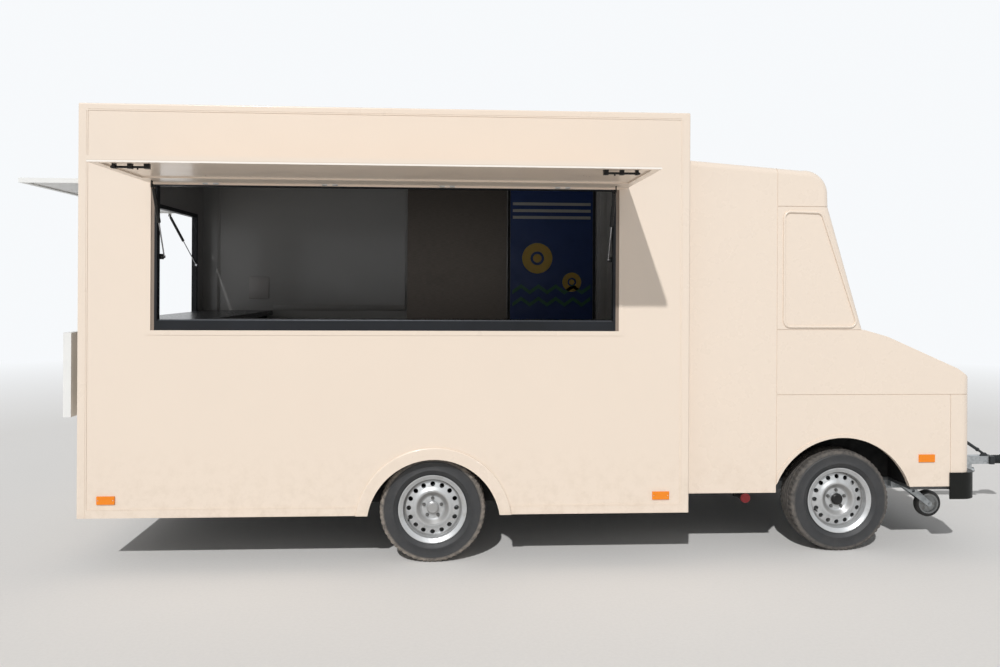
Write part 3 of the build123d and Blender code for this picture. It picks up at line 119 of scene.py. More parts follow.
class Finish:
    # one node material: keeps the tree short to write
    def __init__(self, name, colour, roughness, metallic=0.0):
        self.material = bpy.data.materials.new(name)
        self.material.use_nodes = True
        self.tree = self.material.node_tree
        self.shader = self.tree.nodes["Principled BSDF"]
        self.colour = colour
        self.shader.inputs["Base Color"].default_value = (*colour, 1)
        self.shader.inputs["Roughness"].default_value = roughness
        self.shader.inputs["Metallic"].default_value = metallic
        self.place = self.add("ShaderNodeTexCoord").outputs["Object"]
        self.colourOut = None

    def add(self, kind, **values):
        node = self.tree.nodes.new(kind)
        for key, value in values.items():
            setattr(node, key, value)
        return node

    def join(self, source, target):
        self.tree.links.new(source, target)

    def noise(self, scale, detail=4.0, stretch=None, roughness=0.55):
        node = self.add("ShaderNodeTexNoise")
        node.inputs["Scale"].default_value = scale
        node.inputs["Detail"].default_value = detail
        node.inputs["Roughness"].default_value = roughness
        if stretch:
            mapping = self.add("ShaderNodeMapping")
            mapping.inputs["Scale"].default_value = stretch
            self.join(self.place, mapping.inputs["Vector"])
            self.join(mapping.outputs["Vector"], node.inputs["Vector"])
        else:
            self.join(self.place, node.inputs["Vector"])
        return node.outputs["Fac"]

    def ramp(self, source, low, high, start=0.0, end=1.0):
        node = self.add("ShaderNodeMapRange")
        node.inputs["From Min"].default_value = low
        node.inputs["From Max"].default_value = high
        node.inputs["To Min"].default_value = start
        node.inputs["To Max"].default_value = end
        self.join(source, node.inputs["Value"])
        return node.outputs["Result"]

    def calc(self, first, second, operation="ADD"):
        node = self.add("ShaderNodeMath", operation=operation)
        for socket, value in zip(node.inputs, (first, second)):
            if isinstance(value, (int, float)):
                socket.default_value = value
            else:
                self.join(value, socket)
        return node.outputs[0]

    def axis(self, name):
        split = self.add("ShaderNodeSeparateXYZ")
        self.join(self.place, split.inputs[0])
        return split.outputs[name]

    def tint(self, mask, colour):
        # lays a colour over what is there, where the mask is 1
        node = self.add("ShaderNodeMix", data_type="RGBA")
        if self.colourOut is None:
            node.inputs["A"].default_value = (*self.colour, 1)
        else:
            self.join(self.colourOut, node.inputs["A"])
        node.inputs["B"].default_value = (*colour, 1)
        self.join(mask, node.inputs["Factor"])
        self.colourOut = node.outputs["Result"]
        self.join(self.colourOut, self.shader.inputs["Base Color"])

    def bump(self, source, strength, distance):
        node = self.add("ShaderNodeBump")
        node.inputs["Strength"].default_value = strength
        node.inputs["Distance"].default_value = distance
        self.join(source, node.inputs["Height"])
        self.join(node.outputs["Normal"], self.shader.inputs["Normal"])

    def gloss(self, source):
        self.join(source, self.shader.inputs["Roughness"])


def shade(colour, factor):
    return tuple(channel * factor for channel in colour)


liningSpan = {"endInset": 0.034, "margin": 0.001, "belowFloor": 0.05}


def insideBox(finish):
    # 1 inside the load space and 0 outside it, by place in the shared frame
    inset, margin = liningSpan["endInset"], liningSpan["margin"]
    spans = (
        ("X", rearX + inset, frontX - inset),
        ("Y", nearInnerY - margin, farInnerY + margin),
        ("Z", floorZ - liningSpan["belowFloor"], ceilingZ + margin),
    )
    mask = 1.0
    for axisName, low, high in spans:
        value = finish.axis(axisName)
        mask = finish.calc(mask, finish.calc(value, low, "GREATER_THAN"), "MULTIPLY")
        mask = finish.calc(mask, finish.calc(value, high, "LESS_THAN"), "MULTIPLY")
    return mask


paint = {
    "cream": (0.80, 0.685, 0.575),
    # paler edge strip on the hatch: partly its white edge profile, partly a painted highlight
    "rim": (0.90, 0.84, 0.77),
    # painted shade: the cream jamb coloured as if shaded in its recess
    "jamb": (0.27, 0.215, 0.175),
    "dust": (0.55, 0.44, 0.33),
    "lining": (0.30, 0.29, 0.28),
    "streak": (0.70, 0.58, 0.46),
}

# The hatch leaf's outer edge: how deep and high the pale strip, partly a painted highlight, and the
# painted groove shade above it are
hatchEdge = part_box("service_hatch")[0]
rimShape = {"depth": 0.0008, "strip": 0.017, "line": 0.0195, "grooveShadeShare": 0.6}

# Height where the road dust is full and where it ends, and its share
roadDust = {"full": 0.31, "clear": 0.75, "share": 0.4}


def creamPaint(name, roughness=0.32, wave=0.0, lined=False, rim=False):
    # cream enamel with faint clouds and streaks, dusty near the road
    finish = Finish(name, paint["cream"], roughness)
    cloud = finish.noise(1.3, 3.0)
    finish.tint(finish.ramp(cloud, 0.35, 0.75, 0.0, 0.3), shade(paint["cream"], 0.95))
    streak = finish.noise(3.0, 5.0, stretch=(9.0, 9.0, 0.7))
    finish.tint(finish.ramp(streak, 0.6, 0.9, 0.0, 0.1), paint["streak"])
    low = finish.ramp(finish.axis("Z"), roadDust["full"], roadDust["clear"], 1.0, 0.0)
    speck = finish.ramp(finish.noise(14.0, 8.0, roughness=0.7), 0.45, 0.75)
    dusty = finish.calc(finish.calc(low, speck, "MULTIPLY"), roadDust["share"], "MULTIPLY")
    finish.tint(dusty, paint["dust"])
    if lined:
        finish.tint(insideBox(finish), paint["lining"])
    if rim:
        # the leaf's outer edge carries a paler strip, partly its white edge profile and partly a painted
        # highlight, with a fine stripe of painted groove shade above it
        edge = finish.calc(finish.axis("Y"), hatchEdge.y + rimShape["depth"], "LESS_THAN")
        height = finish.axis("Z")
        strip = finish.calc(height, hatchEdge.z + rimShape["strip"], "LESS_THAN")
        finish.tint(finish.calc(edge, strip, "MULTIPLY"), paint["rim"])
        # painted groove shade: a fine stripe in the dust colour just above the pale strip
        above = finish.calc(height, hatchEdge.z + rimShape["strip"], "GREATER_THAN")
        below = finish.calc(height, hatchEdge.z + rimShape["line"], "LESS_THAN")
        line = finish.calc(edge, finish.calc(above, below, "MULTIPLY"), "MULTIPLY")
        finish.tint(finish.calc(line, rimShape["grooveShadeShare"], "MULTIPLY"), paint["dust"])
    finish.gloss(finish.ramp(finish.noise(6.0, 4.0), 0.2, 0.8, roughness - 0.05, roughness + 0.1))
    peel = finish.noise(420.0, 2.0)
    if wave:
        peel = finish.calc(peel, finish.calc(finish.noise(2.2, 2.0), wave, "MULTIPLY"))
    finish.bump(peel, 0.12, 0.0006)
    finish.shader.inputs["Coat Weight"].default_value = 0.25
    finish.shader.inputs["Coat Roughness"].default_value = 0.12
    return finish.material


def plainFinish(
    name, colour, roughness, metallic=0.0, grain=300.0, depth=0.0004, spread=0.25, cloudScale=5.0,
    shine=0.5,
):
    # a painted, moulded or cast surface with cloudy colour and a fine grain
    finish = Finish(name, colour, roughness, metallic)
    finish.tint(finish.ramp(finish.noise(cloudScale, 5.0), 0.3, 0.75), shade(colour, 1 - spread))
    patches = finish.noise(cloudScale * 4, 4.0)
    finish.gloss(finish.ramp(patches, 0.25, 0.8, roughness * 0.8, min(1.0, roughness * 1.3)))
    finish.bump(finish.noise(grain, 3.0), 0.3, depth)
    finish.shader.inputs["Specular IOR Level"].default_value = shine
    return finish.material


# How far the hatch laps over the opening's ends, and the width of the jamb's painted shade
jambShape = {"rearOverlap": 0.012, "frontOverlap": 0.048, "width": 0.019}
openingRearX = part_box("service_hatch")[0].x + jambShape["rearOverlap"]
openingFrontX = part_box("service_hatch")[1].x - jambShape["frontOverlap"]


def frameFinish():
    # dark moulded frames, with the cream jamb beside the service opening painted brown as painted shade
    # of its recess
    finish = Finish("darkFrame", (0.014, 0.016, 0.02), 0.42)
    finish.tint(finish.ramp(finish.noise(5.0, 5.0), 0.3, 0.75), (0.009, 0.01, 0.012))
    # the jamb's strip beside the opening is painted shade, cream darkened to brown
    side = finish.axis("X")
    rear = finish.calc(side, openingRearX + jambShape["width"], "LESS_THAN")
    front = finish.calc(side, openingFrontX - jambShape["width"], "GREATER_THAN")
    near = finish.calc(finish.axis("Y"), nearInnerY, "LESS_THAN")
    finish.tint(finish.calc(finish.calc(rear, front), near, "MULTIPLY"), paint["jamb"])
    finish.gloss(finish.ramp(finish.noise(20.0, 4.0), 0.25, 0.8, 0.34, 0.55))
    finish.bump(finish.noise(300.0, 3.0), 0.3, 0.0004)
    finish.shader.inputs["Specular IOR Level"].default_value = 0.22
    return finish.material


def zincFinish():
    # galvanised steel: pale and dark spangles with white bloom
    finish = Finish("zincSpangle", (0.46, 0.48, 0.49), 0.42, 0.85)
    cells = finish.add("ShaderNodeTexVoronoi")
    cells.inputs["Scale"].default_value = 60.0
    finish.join(finish.place, cells.inputs["Vector"])
    finish.tint(finish.ramp(cells.outputs["Color"], 0.2, 0.8, 0.0, 0.6), (0.30, 0.32, 0.33))
    finish.tint(finish.ramp(finish.noise(9.0, 6.0), 0.55, 0.8, 0.0, 0.5), (0.62, 0.62, 0.6))
    finish.gloss(finish.ramp(finish.noise(22.0, 5.0), 0.3, 0.7, 0.32, 0.6))
    finish.bump(finish.noise(160.0, 4.0), 0.2, 0.0004)
    return finish.material


def brushedSteel(name, colour, roughness, stretch):
    # bright or dull metal with brushing lines, which stretch sets along an axis
    finish = Finish(name, colour, roughness, 1.0)
    lines = finish.noise(40.0, 3.0, stretch=stretch)
    finish.tint(finish.ramp(lines, 0.35, 0.7, 0.0, 0.5), shade(colour, 0.7))
    finish.tint(finish.ramp(finish.noise(2.5, 4.0), 0.55, 0.8, 0.0, 0.35), shade(colour, 0.55))
    finish.gloss(finish.ramp(lines, 0.2, 0.8, roughness - 0.07, roughness + 0.12))
    finish.bump(lines, 0.15, 0.0003)
    return finish.material


def fromAxle(finish, node):
    # distance from a wheel's own axle, which runs along Y
    low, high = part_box(node)
    hub = (low + high) / 2
    across = finish.calc(finish.calc(finish.axis("X"), -hub.x), 2.0, "POWER")
    upright = finish.calc(finish.calc(finish.axis("Z"), -hub.z), 2.0, "POWER")
    return finish.calc(finish.calc(across, upright), 0.5, "POWER")


# Radii between which the dust on a tyre comes in
dustBand = {"start": 0.290, "full": 0.304}


def rubberFinish(name, node, dusty):
    # grey sidewalls with a band of road dust round the shoulder and on the tread
    finish = Finish(name, (0.030, 0.031, 0.033), 0.62)
    cloud = finish.ramp(finish.noise(11.0, 8.0, roughness=0.7), 0.45, 0.72, 0.0, 0.3)
    finish.tint(cloud, (0.075, 0.072, 0.07))
    shoulder = finish.ramp(fromAxle(finish, node), dustBand["start"], dustBand["full"])
    speck = finish.ramp(finish.noise(34.0, 8.0, roughness=0.7), 0.36, 0.62, 0.25, 1.0)
    dust = finish.calc(finish.calc(shoulder, speck, "MULTIPLY"), dusty, "MULTIPLY")
    finish.tint(dust, (0.31, 0.27, 0.23))
    finish.gloss(finish.ramp(shoulder, 0.0, 1.0, 0.58, 0.85))
    finish.bump(finish.noise(500.0, 4.0), 0.4, 0.0005)
    return finish.material


wheelRings = {
    # radii where a ring of painted shade begins, is full, stays full and ends
    "trough": (0.072, 0.080, 0.094, 0.106),
    "lip": (0.160, 0.166, 0.174, 0.180),
    "hub": (0.036, 0.040), "hubShare": 0.7,
    "shadeShare": 0.62,
    # a place between the axles, from the box's front, that parts front wheels from rear ones
    "betweenAxles": -0.5,
}


def wheelPaint():
    # silver wheel enamel with painted shade under the hub's cap, in the trough round the hub and behind
    # the wheel's outer lip
    finish = Finish("wheelSilver", (0.50, 0.51, 0.515), 0.36, 0.5)
    for node, side in (("rim_rear_near", "LESS_THAN"), ("rim_front_near", "GREATER_THAN")):
        reach = fromAxle(finish, node)
        half = finish.calc(finish.axis("X"), frontX + wheelRings["betweenAxles"], side)
        # painted shade under the hub's cap, in the trough and behind the lip
        hub = finish.ramp(reach, *wheelRings["hub"], 1.0, 0.0)
        ringShade = finish.calc(hub, wheelRings["hubShare"], "MULTIPLY")
        for ring in ("trough", "lip"):
            start, full, stay, end = wheelRings[ring]
            rise, fall = finish.ramp(reach, start, full), finish.ramp(reach, stay, end, 1.0, 0.0)
            ringShade = finish.calc(ringShade, finish.calc(rise, fall, "MULTIPLY"))
        ringShade = finish.calc(finish.calc(ringShade, half, "MULTIPLY"), wheelRings["shadeShare"], "MULTIPLY")
        finish.tint(ringShade, (0.20, 0.19, 0.18))
    grime = finish.noise(18.0, 7.0, roughness=0.7)
    finish.tint(finish.ramp(grime, 0.5, 0.75, 0.0, 0.5), (0.30, 0.28, 0.26))
    finish.gloss(finish.ramp(finish.noise(40.0, 4.0), 0.3, 0.7, 0.3, 0.5))
    finish.bump(finish.noise(380.0, 3.0), 0.2, 0.0003)
    return finish.material


def lensFinish(name, colour, glow=0.12, coat=0.8):
    # a moulded lamp lens with fine ribs and a little light scattered inside
    finish = Finish(name, colour, 0.12)
    ribs = finish.add("ShaderNodeTexWave")
    ribs.inputs["Scale"].default_value = 55.0
    finish.join(finish.place, ribs.inputs["Vector"])
    finish.tint(finish.ramp(ribs.outputs["Fac"], 0.2, 0.9, 0.0, 0.35), shade(colour, 0.7))
    finish.bump(ribs.outputs["Fac"], 0.25, 0.001)
    finish.shader.inputs["Coat Weight"].default_value = coat
    finish.shader.inputs["Subsurface Weight"].default_value = glow
    finish.shader.inputs["Subsurface Radius"].default_value = (0.01, 0.005, 0.003)
    return finish.material


jockeyShape = {"discShare": 0.76}


def jockeyFinish():
    # a black tyre on a pale nylon wheel, by distance from the wheel's own axle
    low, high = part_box("jockey_wheel")
    finish = Finish("jockeyTwoTone", (0.02, 0.02, 0.02), 0.6)
    discRadius = (high.z - low.z) / 2 * jockeyShape["discShare"]
    inside = finish.calc(fromAxle(finish, "jockey_wheel"), discRadius, "LESS_THAN")
    finish.tint(finish.ramp(finish.noise(25.0, 6.0), 0.4, 0.7, 0.0, 0.5), (0.09, 0.08, 0.075))
    finish.tint(inside, (0.42, 0.43, 0.43))
    grime = finish.ramp(finish.noise(60.0, 5.0), 0.5, 0.7)
    finish.tint(finish.calc(inside, grime, "MULTIPLY"), (0.25, 0.24, 0.22))
    finish.bump(finish.noise(300.0, 3.0), 0.2, 0.0004)
    return finish.material


finishes = {
    "creamWall": creamPaint("creamWall", lined=True),
    "creamTrim": creamPaint("creamTrim", roughness=0.28),
    "creamLeaf": creamPaint("creamLeaf", roughness=0.3, rim=True),
    "creamShell": creamPaint("creamShell", roughness=0.26, wave=4.0),
    "whiteFlap": plainFinish("whiteFlap", (0.80, 0.80, 0.78), 0.35, spread=0.06),
    "darkFrame": frameFinish(),
    "counterBlack": plainFinish("counterBlack", (0.018, 0.018, 0.02), 0.25, spread=0.3, cloudScale=30.0),
    "zinc": zincFinish(),
    "steelSheet": brushedSteel("steelSheet", (0.125, 0.108, 0.094), 0.45, (0.6, 1.0, 9.0)),
    "pinSteel": brushedSteel("pinSteel", (0.55, 0.55, 0.54), 0.3, (1.0, 1.0, 1.0)),
    "rodChrome": brushedSteel("rodChrome", (0.8, 0.8, 0.8), 0.12, (1.0, 1.0, 1.0)),
    "boltZinc": plainFinish("boltZinc", (0.17, 0.17, 0.165), 0.4, 0.5, spread=0.4, cloudScale=60.0),
    "rodSteel": brushedSteel("rodSteel", (0.42, 0.42, 0.43), 0.2, (1.0, 1.0, 1.0)),
    "strutBlack": plainFinish("strutBlack", (0.012, 0.012, 0.012), 0.3, spread=0.3, shine=0.3),
    "castBlack": plainFinish("castBlack", (0.03, 0.034, 0.036), 0.5, 0.3, spread=0.35),
    "bumperBlack": plainFinish(
        "bumperBlack", (0.008, 0.0085, 0.0075), 0.4, spread=0.3, grain=900.0, shine=0.2,
    ),
    "linerBlack": plainFinish("linerBlack", (0.015, 0.015, 0.015), 0.8, spread=0.4),
    "pillarGrey": plainFinish("pillarGrey", (0.55, 0.53, 0.50), 0.4, spread=0.1),
    "floorGrey": plainFinish("floorGrey", (0.14, 0.145, 0.15), 0.65, grain=120.0, depth=0.001),
    "muralBlue": plainFinish("muralBlue", (0.012, 0.045, 0.19), 0.45, spread=0.12),
    "muralYellow": plainFinish("muralYellow", (0.62, 0.40, 0.06), 0.45, spread=0.12),
    "muralGreen": plainFinish("muralGreen", (0.03, 0.14, 0.07), 0.45, spread=0.2),
    "muralPale": plainFinish("muralPale", (0.50, 0.48, 0.44), 0.45, spread=0.12),
    "sealBlack": plainFinish("sealBlack", (0.015, 0.015, 0.016), 0.7, spread=0.3),
    "trackAlloy": brushedSteel("trackAlloy", (0.10, 0.105, 0.115), 0.42, (1.0, 1.0, 1.0)),
    "plateWhite": plainFinish("plateWhite", (0.38, 0.36, 0.35), 0.4, spread=0.08),
    "liningGrey": plainFinish("liningGrey", (0.31, 0.30, 0.29), 0.45, spread=0.1),
    "jockeyTwoTone": jockeyFinish(),
    "rubberRear": rubberFinish("rubberRear", "tyre_rear_near", 0.95),
    "rubberFront": rubberFinish("rubberFront", "tyre_front_near", 0.4),
    "wheelSilver": wheelPaint(),
    "redCap": plainFinish("redCap", (0.42, 0.02, 0.025), 0.3, spread=0.25),
    "amberLens": lensFinish("amberLens", (0.90, 0.25, 0.002), coat=0.2),
    "redLens": lensFinish("redLens", (0.42, 0.01, 0.01)),
    "clearLens": lensFinish("clearLens", (0.42, 0.40, 0.37)),
    "handleBlack": plainFinish("handleBlack", (0.015, 0.015, 0.015), 0.4, spread=0.3, shine=0.3),
}

nodeFinishes = {
    "creamWall": ["near_wall", "far_wall", "rear_wall", "front_wall", "roof_panel", "entry_door"],
    "creamTrim": ["edge_trims", "arch_flares"],
    "creamLeaf": ["service_hatch"],
    "creamShell": [
        "cab_hoop", "cab_cap", "cab_side_near", "cab_side_far", "windscreen_blank", "bonnet", "fenders",
        "nose_panel",
    ],
    "whiteFlap": ["rear_upper_flap", "rear_lower_flap"],
    "darkFrame": ["dark_frames"],
    "counterBlack": ["worktop"],
    "zinc": ["chassis_frame", "rear_axle", "front_axle", "drawbar", "jockey_leg", "jockey_bracket"],
    "steelSheet": ["steel_panel"],
    "pinSteel": ["fixed_hinges"],
    "strutBlack": ["hatch_cylinders", "rear_cylinder", "hatch_fittings", "jamb_pins"],
    "rodSteel": ["hatch_rods", "rear_rod"],
    "castBlack": ["coupling_head", "hand_brake"],
    "bumperBlack": ["bumper"],
    "linerBlack": ["wheel_boxes", "waste_pipe"],
    "pillarGrey": ["corner_pillar"],
    "floorGrey": ["floor_panel", "cab_floor"],
    "muralBlue": ["decorated_panel"],
    "rubberRear": ["tyre_rear_near", "tyre_rear_far"],
    "rubberFront": ["tyre_front_near", "tyre_front_far"],
    "jockeyTwoTone": ["jockey_wheel"],
    "wheelSilver": ["rim_rear_near", "rim_rear_far", "rim_front_near", "rim_front_far"],
    "redCap": ["waste_cap"],
    "amberLens": ["side_markers"],
    "redLens": ["rear_lamps"],
    "clearLens": ["nose_lamps"],
    "handleBlack": ["door_handle"],
}
for finishName, nodeNames in nodeFinishes.items():
    for nodeName in nodeNames:
        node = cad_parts.get(nodeName)
        if node is None:
            print("no node", nodeName)
            continue
        if not node.data.materials:
            node.data.materials.append(None)
        for index in range(len(node.material_slots)):
            node.material_slots[index].link = "OBJECT"
            node.material_slots[index].material = finishes[finishName]

print("stage 3: tyres and wheel fittings")

tyreShape = {
    "segments": 180,
    "grooveDepth": 0.007, "grooves": (0.014, 0.043), "grooveHalf": 0.004, "grooveFloor": 0.0028,
    "shoulder": 0.026, "shoulderDepth": 0.02, "shoulderCut": 0.005,
    "blockStep": 3, "blockCut": 0.004, "outerBlock": 0.044,
    "leanSpan": (0.017, 0.04), "blockLean": 0.02,
}
wheelPlaces = {
    "rear_near": ("tyre_rear_near", -1, "wheelSilver"),
    "rear_far": ("tyre_rear_far", 1, "wheelSilver"),
    "front_near": ("tyre_front_near", -1, "handleBlack"),
    "front_far": ("tyre_front_far", 1, "handleBlack"),
}


def tyreProfile(radius, half):
    # (radius, along, kind): kind 0 plain, 1 tread block, 2 shoulder block
    deep = tyreShape["grooveDepth"]
    edge, flat = tyreShape["grooveHalf"], tyreShape["grooveFloor"]
    right = [(radius, 0.0, 1)]
    for groove in tyreShape["grooves"]:
        right += [
            (radius, groove - edge, 1), (radius - deep, groove - flat, 0),
            (radius - deep, groove + flat, 0), (radius, groove + edge, 1),
        ]
    # down from the tread, in from the side
    for drop, inset, kind in (
        (0.0005, tyreShape["shoulder"], 2), (0.004, 0.014, 2), (0.012, 0.0075, 2), (0.024, 0.004, 2),
        (0.03, 0.0045, 0), (0.034, 0.0018, 0), (0.038, 0.003, 0), (0.062, 0.0006, 0), (0.078, 0.0012, 0),
        (0.08, 0.0002, 0), (0.086, 0.0004, 0), (0.088, 0.003, 0), (0.098, 0.008, 0), (0.104, 0.0125, 0),
    ):
        right.append((radius - drop, half - inset, kind))
    # the bead's own radii, inside the rim
    for bead, inset in ((0.2135, 0.0165), (0.2095, 0.0172), (0.206, 0.02), (0.193, 0.019)):
        right.append((bead, half - inset, 0))
    left = [(r, -h, kind) for r, h, kind in right[1:]]
    return list(reversed(left)) + right


def makeTyre(name, node, sign):
    # tread and sidewall in one closed sweep, with every third step cut back between blocks
    low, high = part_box(node)
    centre = (low + high) / 2
    radius, half = (high.x - low.x) / 2, (high.y - low.y) / 2
    profile = tyreProfile(radius, half)
    segments = tyreShape["segments"]
    leanFrom, leanTo = tyreShape["leanSpan"]
    place = facing(centre, (0, sign, 0))
    bm = bmesh.new()
    rings = []
    for step in range(segments):
        angle = 2 * math.pi * step / segments
        cut = step % tyreShape["blockStep"] == 0
        ring = []
        for r, h, kind in profile:
            inset = 0.0
            if cut and kind == 2 and r > radius - tyreShape["shoulderDepth"]:
                inset = tyreShape["shoulderCut"]
            elif cut and kind == 1 and abs(h) > tyreShape["outerBlock"]:
                inset = tyreShape["blockCut"]
            lean = 0.0
            if kind == 1 and leanFrom < abs(h) < leanTo:
                lean = math.copysign(tyreShape["blockLean"], h)
            ring.append(bm.verts.new(place @ Vector((
                (r - inset) * math.cos(angle + lean), (r - inset) * math.sin(angle + lean), h,
            ))))
        rings.append(ring)
    count = len(profile)
    for step in range(segments):
        here, there = rings[step], rings[(step + 1) % segments]
        for i in range(count):
            bm.faces.new((here[i], there[i], there[(i + 1) % count], here[(i + 1) % count]))
    rubber = finishes["rubberRear" if name.startswith("rear") else "rubberFront"]
    tyre = finishPiece(f"tyre_tread_{name}", bm, rubber, f"wheel_{name}", smooth=32.0)
    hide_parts(node)


def addHex(bm, place, radius, height):
    # a bolt head with a domed top and a round washer face
    segments = 24
    sixth = math.pi / 3
    rings = []
    for wide, high in ((1.25, 0.0), (1.25, 0.15), (1.0, 0.15), (1.0, 0.85), (0.86, 1.0), (0.3, 1.03)):
        ring = []
        for k in range(segments):
            angle = 2 * math.pi * k / segments
            reach = radius * wide
            if wide <= 1.0:
                reach *= math.cos(sixth / 2) / math.cos(angle % sixth - sixth / 2)
            spot = Vector((reach * math.cos(angle), reach * math.sin(angle), height * high))
            ring.append(bm.verts.new(place @ spot))
        rings.append(ring)
    for here, there in zip(rings, rings[1:]):
        for k in range(segments):
            after = (k + 1) % segments
            bm.faces.new((here[k], here[after], there[after], there[k]))
    bm.faces.new(rings[-1])
    bm.faces.new(list(reversed(rings[0])))


boltShape = {
    "circle": 0.056, "face": 0.034, "radius": 0.0088, "height": 0.015, "count": 5,
    "capFace": 0.046, "capRadius": 0.033, "capHeight": 0.013,
    "valveRadius": 0.160, "valveFace": 0.041, "valveAngle": 205.0,
}


def makeWheelFittings(name, node, sign, capFinish):
    # bolts round the hub, the hub's cap and the tyre's valve
    rimLow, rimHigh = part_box(f"rim_{name}")
    centre = (rimLow + rimHigh) / 2
    tyreLow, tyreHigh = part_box(node)
    wheelY = (tyreLow.y + tyreHigh.y) / 2
    hubFace, circle = wheelY + sign * boltShape["face"], boltShape["circle"]
    bm = bmesh.new()
    for k in range(boltShape["count"]):
        angle = math.radians(90 + 360 / boltShape["count"] * k)
        spot = Vector((centre.x + circle * math.cos(angle), hubFace, centre.z + circle * math.sin(angle)))
        addHex(bm, facing(spot, (0, sign, 0)), boltShape["radius"], boltShape["height"])
    finishPiece(f"wheel_bolts_{name}", bm, finishes["boltZinc"], f"wheel_{name}", smooth=25.0)
    bm = bmesh.new()
    r, h = boltShape["capRadius"], boltShape["capHeight"]
    capPlace = facing(Vector((centre.x, wheelY + sign * boltShape["capFace"], centre.z)), (0, sign, 0))
    addLathe(bm, [
        (r * 1.12, 0.0), (r * 1.12, h * 0.4), (r, h * 0.55), (r * 0.97, h * 0.9),
        (r * 0.86, h * 1.1), (r * 0.7, h * 1.14), (r * 0.66, h * 1.05), (r * 0.2, h * 1.05),
    ], 40, capPlace)
    finishPiece(f"wheel_cap_{name}", bm, capFinish, f"wheel_{name}", smooth=30.0)
    bm = bmesh.new()
    angle = math.radians(boltShape["valveAngle"])
    reach = boltShape["valveRadius"]
    valveY = wheelY + sign * boltShape["valveFace"]
    spot = Vector((centre.x + reach * math.cos(angle), valveY, centre.z + reach * math.sin(angle)))
    addLathe(bm, [
        (0.0045, 0.0), (0.0045, 0.008), (0.0035, 0.012), (0.0035, 0.03),
        (0.0046, 0.031), (0.0046, 0.042), (0.003, 0.044),
    ], 14, facing(spot, (0, sign, 0)))
    finishPiece(f"wheel_valve_{name}", bm, finishes["handleBlack"], f"wheel_{name}")


for name, (node, sign, cap) in wheelPlaces.items():
    makeTyre(name, node, sign)
    makeWheelFittings(name, node, sign, finishes[cap])

print("stage 4: hardware and linings")

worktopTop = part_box("worktop")[1].z


def addScrew(bm, spot, direction, radius=0.0042, height=0.0022):
    # a domed screw head
    profile = [
        (radius, 0.0), (radius * 0.96, height * 0.45),
        (radius * 0.7, height * 0.85), (radius * 0.25, height),
    ]
    addLathe(bm, profile, 14, facing(spot, direction))


hingePlates = {"count": 4, "screwStep": 0.03, "rise": 0.032, "proud": 0.003}


def makeHingeScrews():
    # three screws in each hinge plate above the service opening
    bm = bmesh.new()
    step = (openingFrontX - openingRearX) / hingePlates["count"]
    y, z = nearY - hingePlates["proud"], hatchEdge.z + hingePlates["rise"]
    for k in range(hingePlates["count"]):
        for shift in (-1, 0, 1):
            x = openingRearX + step * (k + 0.5) + shift * hingePlates["screwStep"]
            addScrew(bm, Vector((x, y, z)), (0, -1, 0))
    finishPiece("hinge_screws_near", bm, finishes["pinSteel"], "trailer", smooth=50.0)


makeHingeScrews()

sillTracks = {
    "height": 0.007, "width": 0.005, "places": (0.014, 0.030, 0.046),
    "inset": 0.036, "sillRise": 0.009, "sunk": 0.0003,
}


def makeSillTracks():
    # three rails along the sill of the service opening
    bm = bmesh.new()
    sillTop = worktopTop + sillTracks["sillRise"]
    rear, front = openingRearX + sillTracks["inset"], openingFrontX - sillTracks["inset"]
    for place in sillTracks["places"]:
        y = nearY + place
        low = (rear, y, sillTop - sillTracks["sunk"])
        addBlock(bm, low, (front, y + sillTracks["width"], sillTop + sillTracks["height"]))
    finishPiece("sill_tracks", bm, finishes["trackAlloy"], "trailer", bevel=0.0006)


makeSillTracks()

coverPlate = {"station": 0.516, "height": 1.656, "size": (0.17, 0.19), "thick": 0.008}
liningStrips = {
    "jointStation": 0.17, "jointGap": 0.008, "jointHalf": 0.012, "jointThick": 0.0035, "jointTop": 0.001,
    "cove": 0.022, "coveRear": 0.036, "coveFront": 0.2,
    "upstandStation": 0.64, "upstandGap": 0.02, "upstandThick": 0.006, "upstandHeight": 0.05,
}


def makeLiningPieces():
    # a cover plate, joint strips, a ceiling cove and an upstand on the far lining
    strips = liningStrips
    bm = bmesh.new()
    x, z = rearX + coverPlate["station"], coverPlate["height"]
    w, h = coverPlate["size"]
    face = farInnerY - coverPlate["thick"]
    addBlock(bm, (x - w / 2, face, z - h / 2), (x + w / 2, farInnerY, z + h / 2))
    finishPiece("wall_cover_plate", bm, finishes["plateWhite"], "trailer", bevel=0.003)
    bm = bmesh.new()
    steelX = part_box("steel_panel")[0].x
    half = strips["jointHalf"]
    for x in (rearX + strips["jointStation"], steelX - strips["jointGap"]):
        low = (x - half, farInnerY - strips["jointThick"], worktopTop)
        addBlock(bm, low, (x + half, farInnerY, ceilingZ - strips["jointTop"]))
    low = (rearX + strips["coveRear"], farInnerY - strips["cove"], ceilingZ - strips["cove"])
    addBlock(bm, low, (frontX - strips["coveFront"], farInnerY, ceilingZ))
    low = (rearX + strips["upstandStation"], farInnerY - strips["upstandThick"], worktopTop)
    addBlock(bm, low, (steelX - strips["upstandGap"], farInnerY, worktopTop + strips["upstandHeight"]))
    finishPiece("lining_joints", bm, finishes["liningGrey"], "trailer", bevel=0.001)


makeLiningPieces()

mural = {
    "lift": 0.0012, "margin": 0.02,
    "discs": ((0.24, 1.93, 0.135), (0.55, 1.72, 0.085)), "holeShare": 0.45, "eyeShare": 0.28,
    "waveHeights": (1.50, 1.61), "waveSteps": 9, "waveRise": 0.055, "waveWidth": 0.035,
    "bandHeights": (2.28, 2.34, 2.40), "bandWidth": 0.026,
}


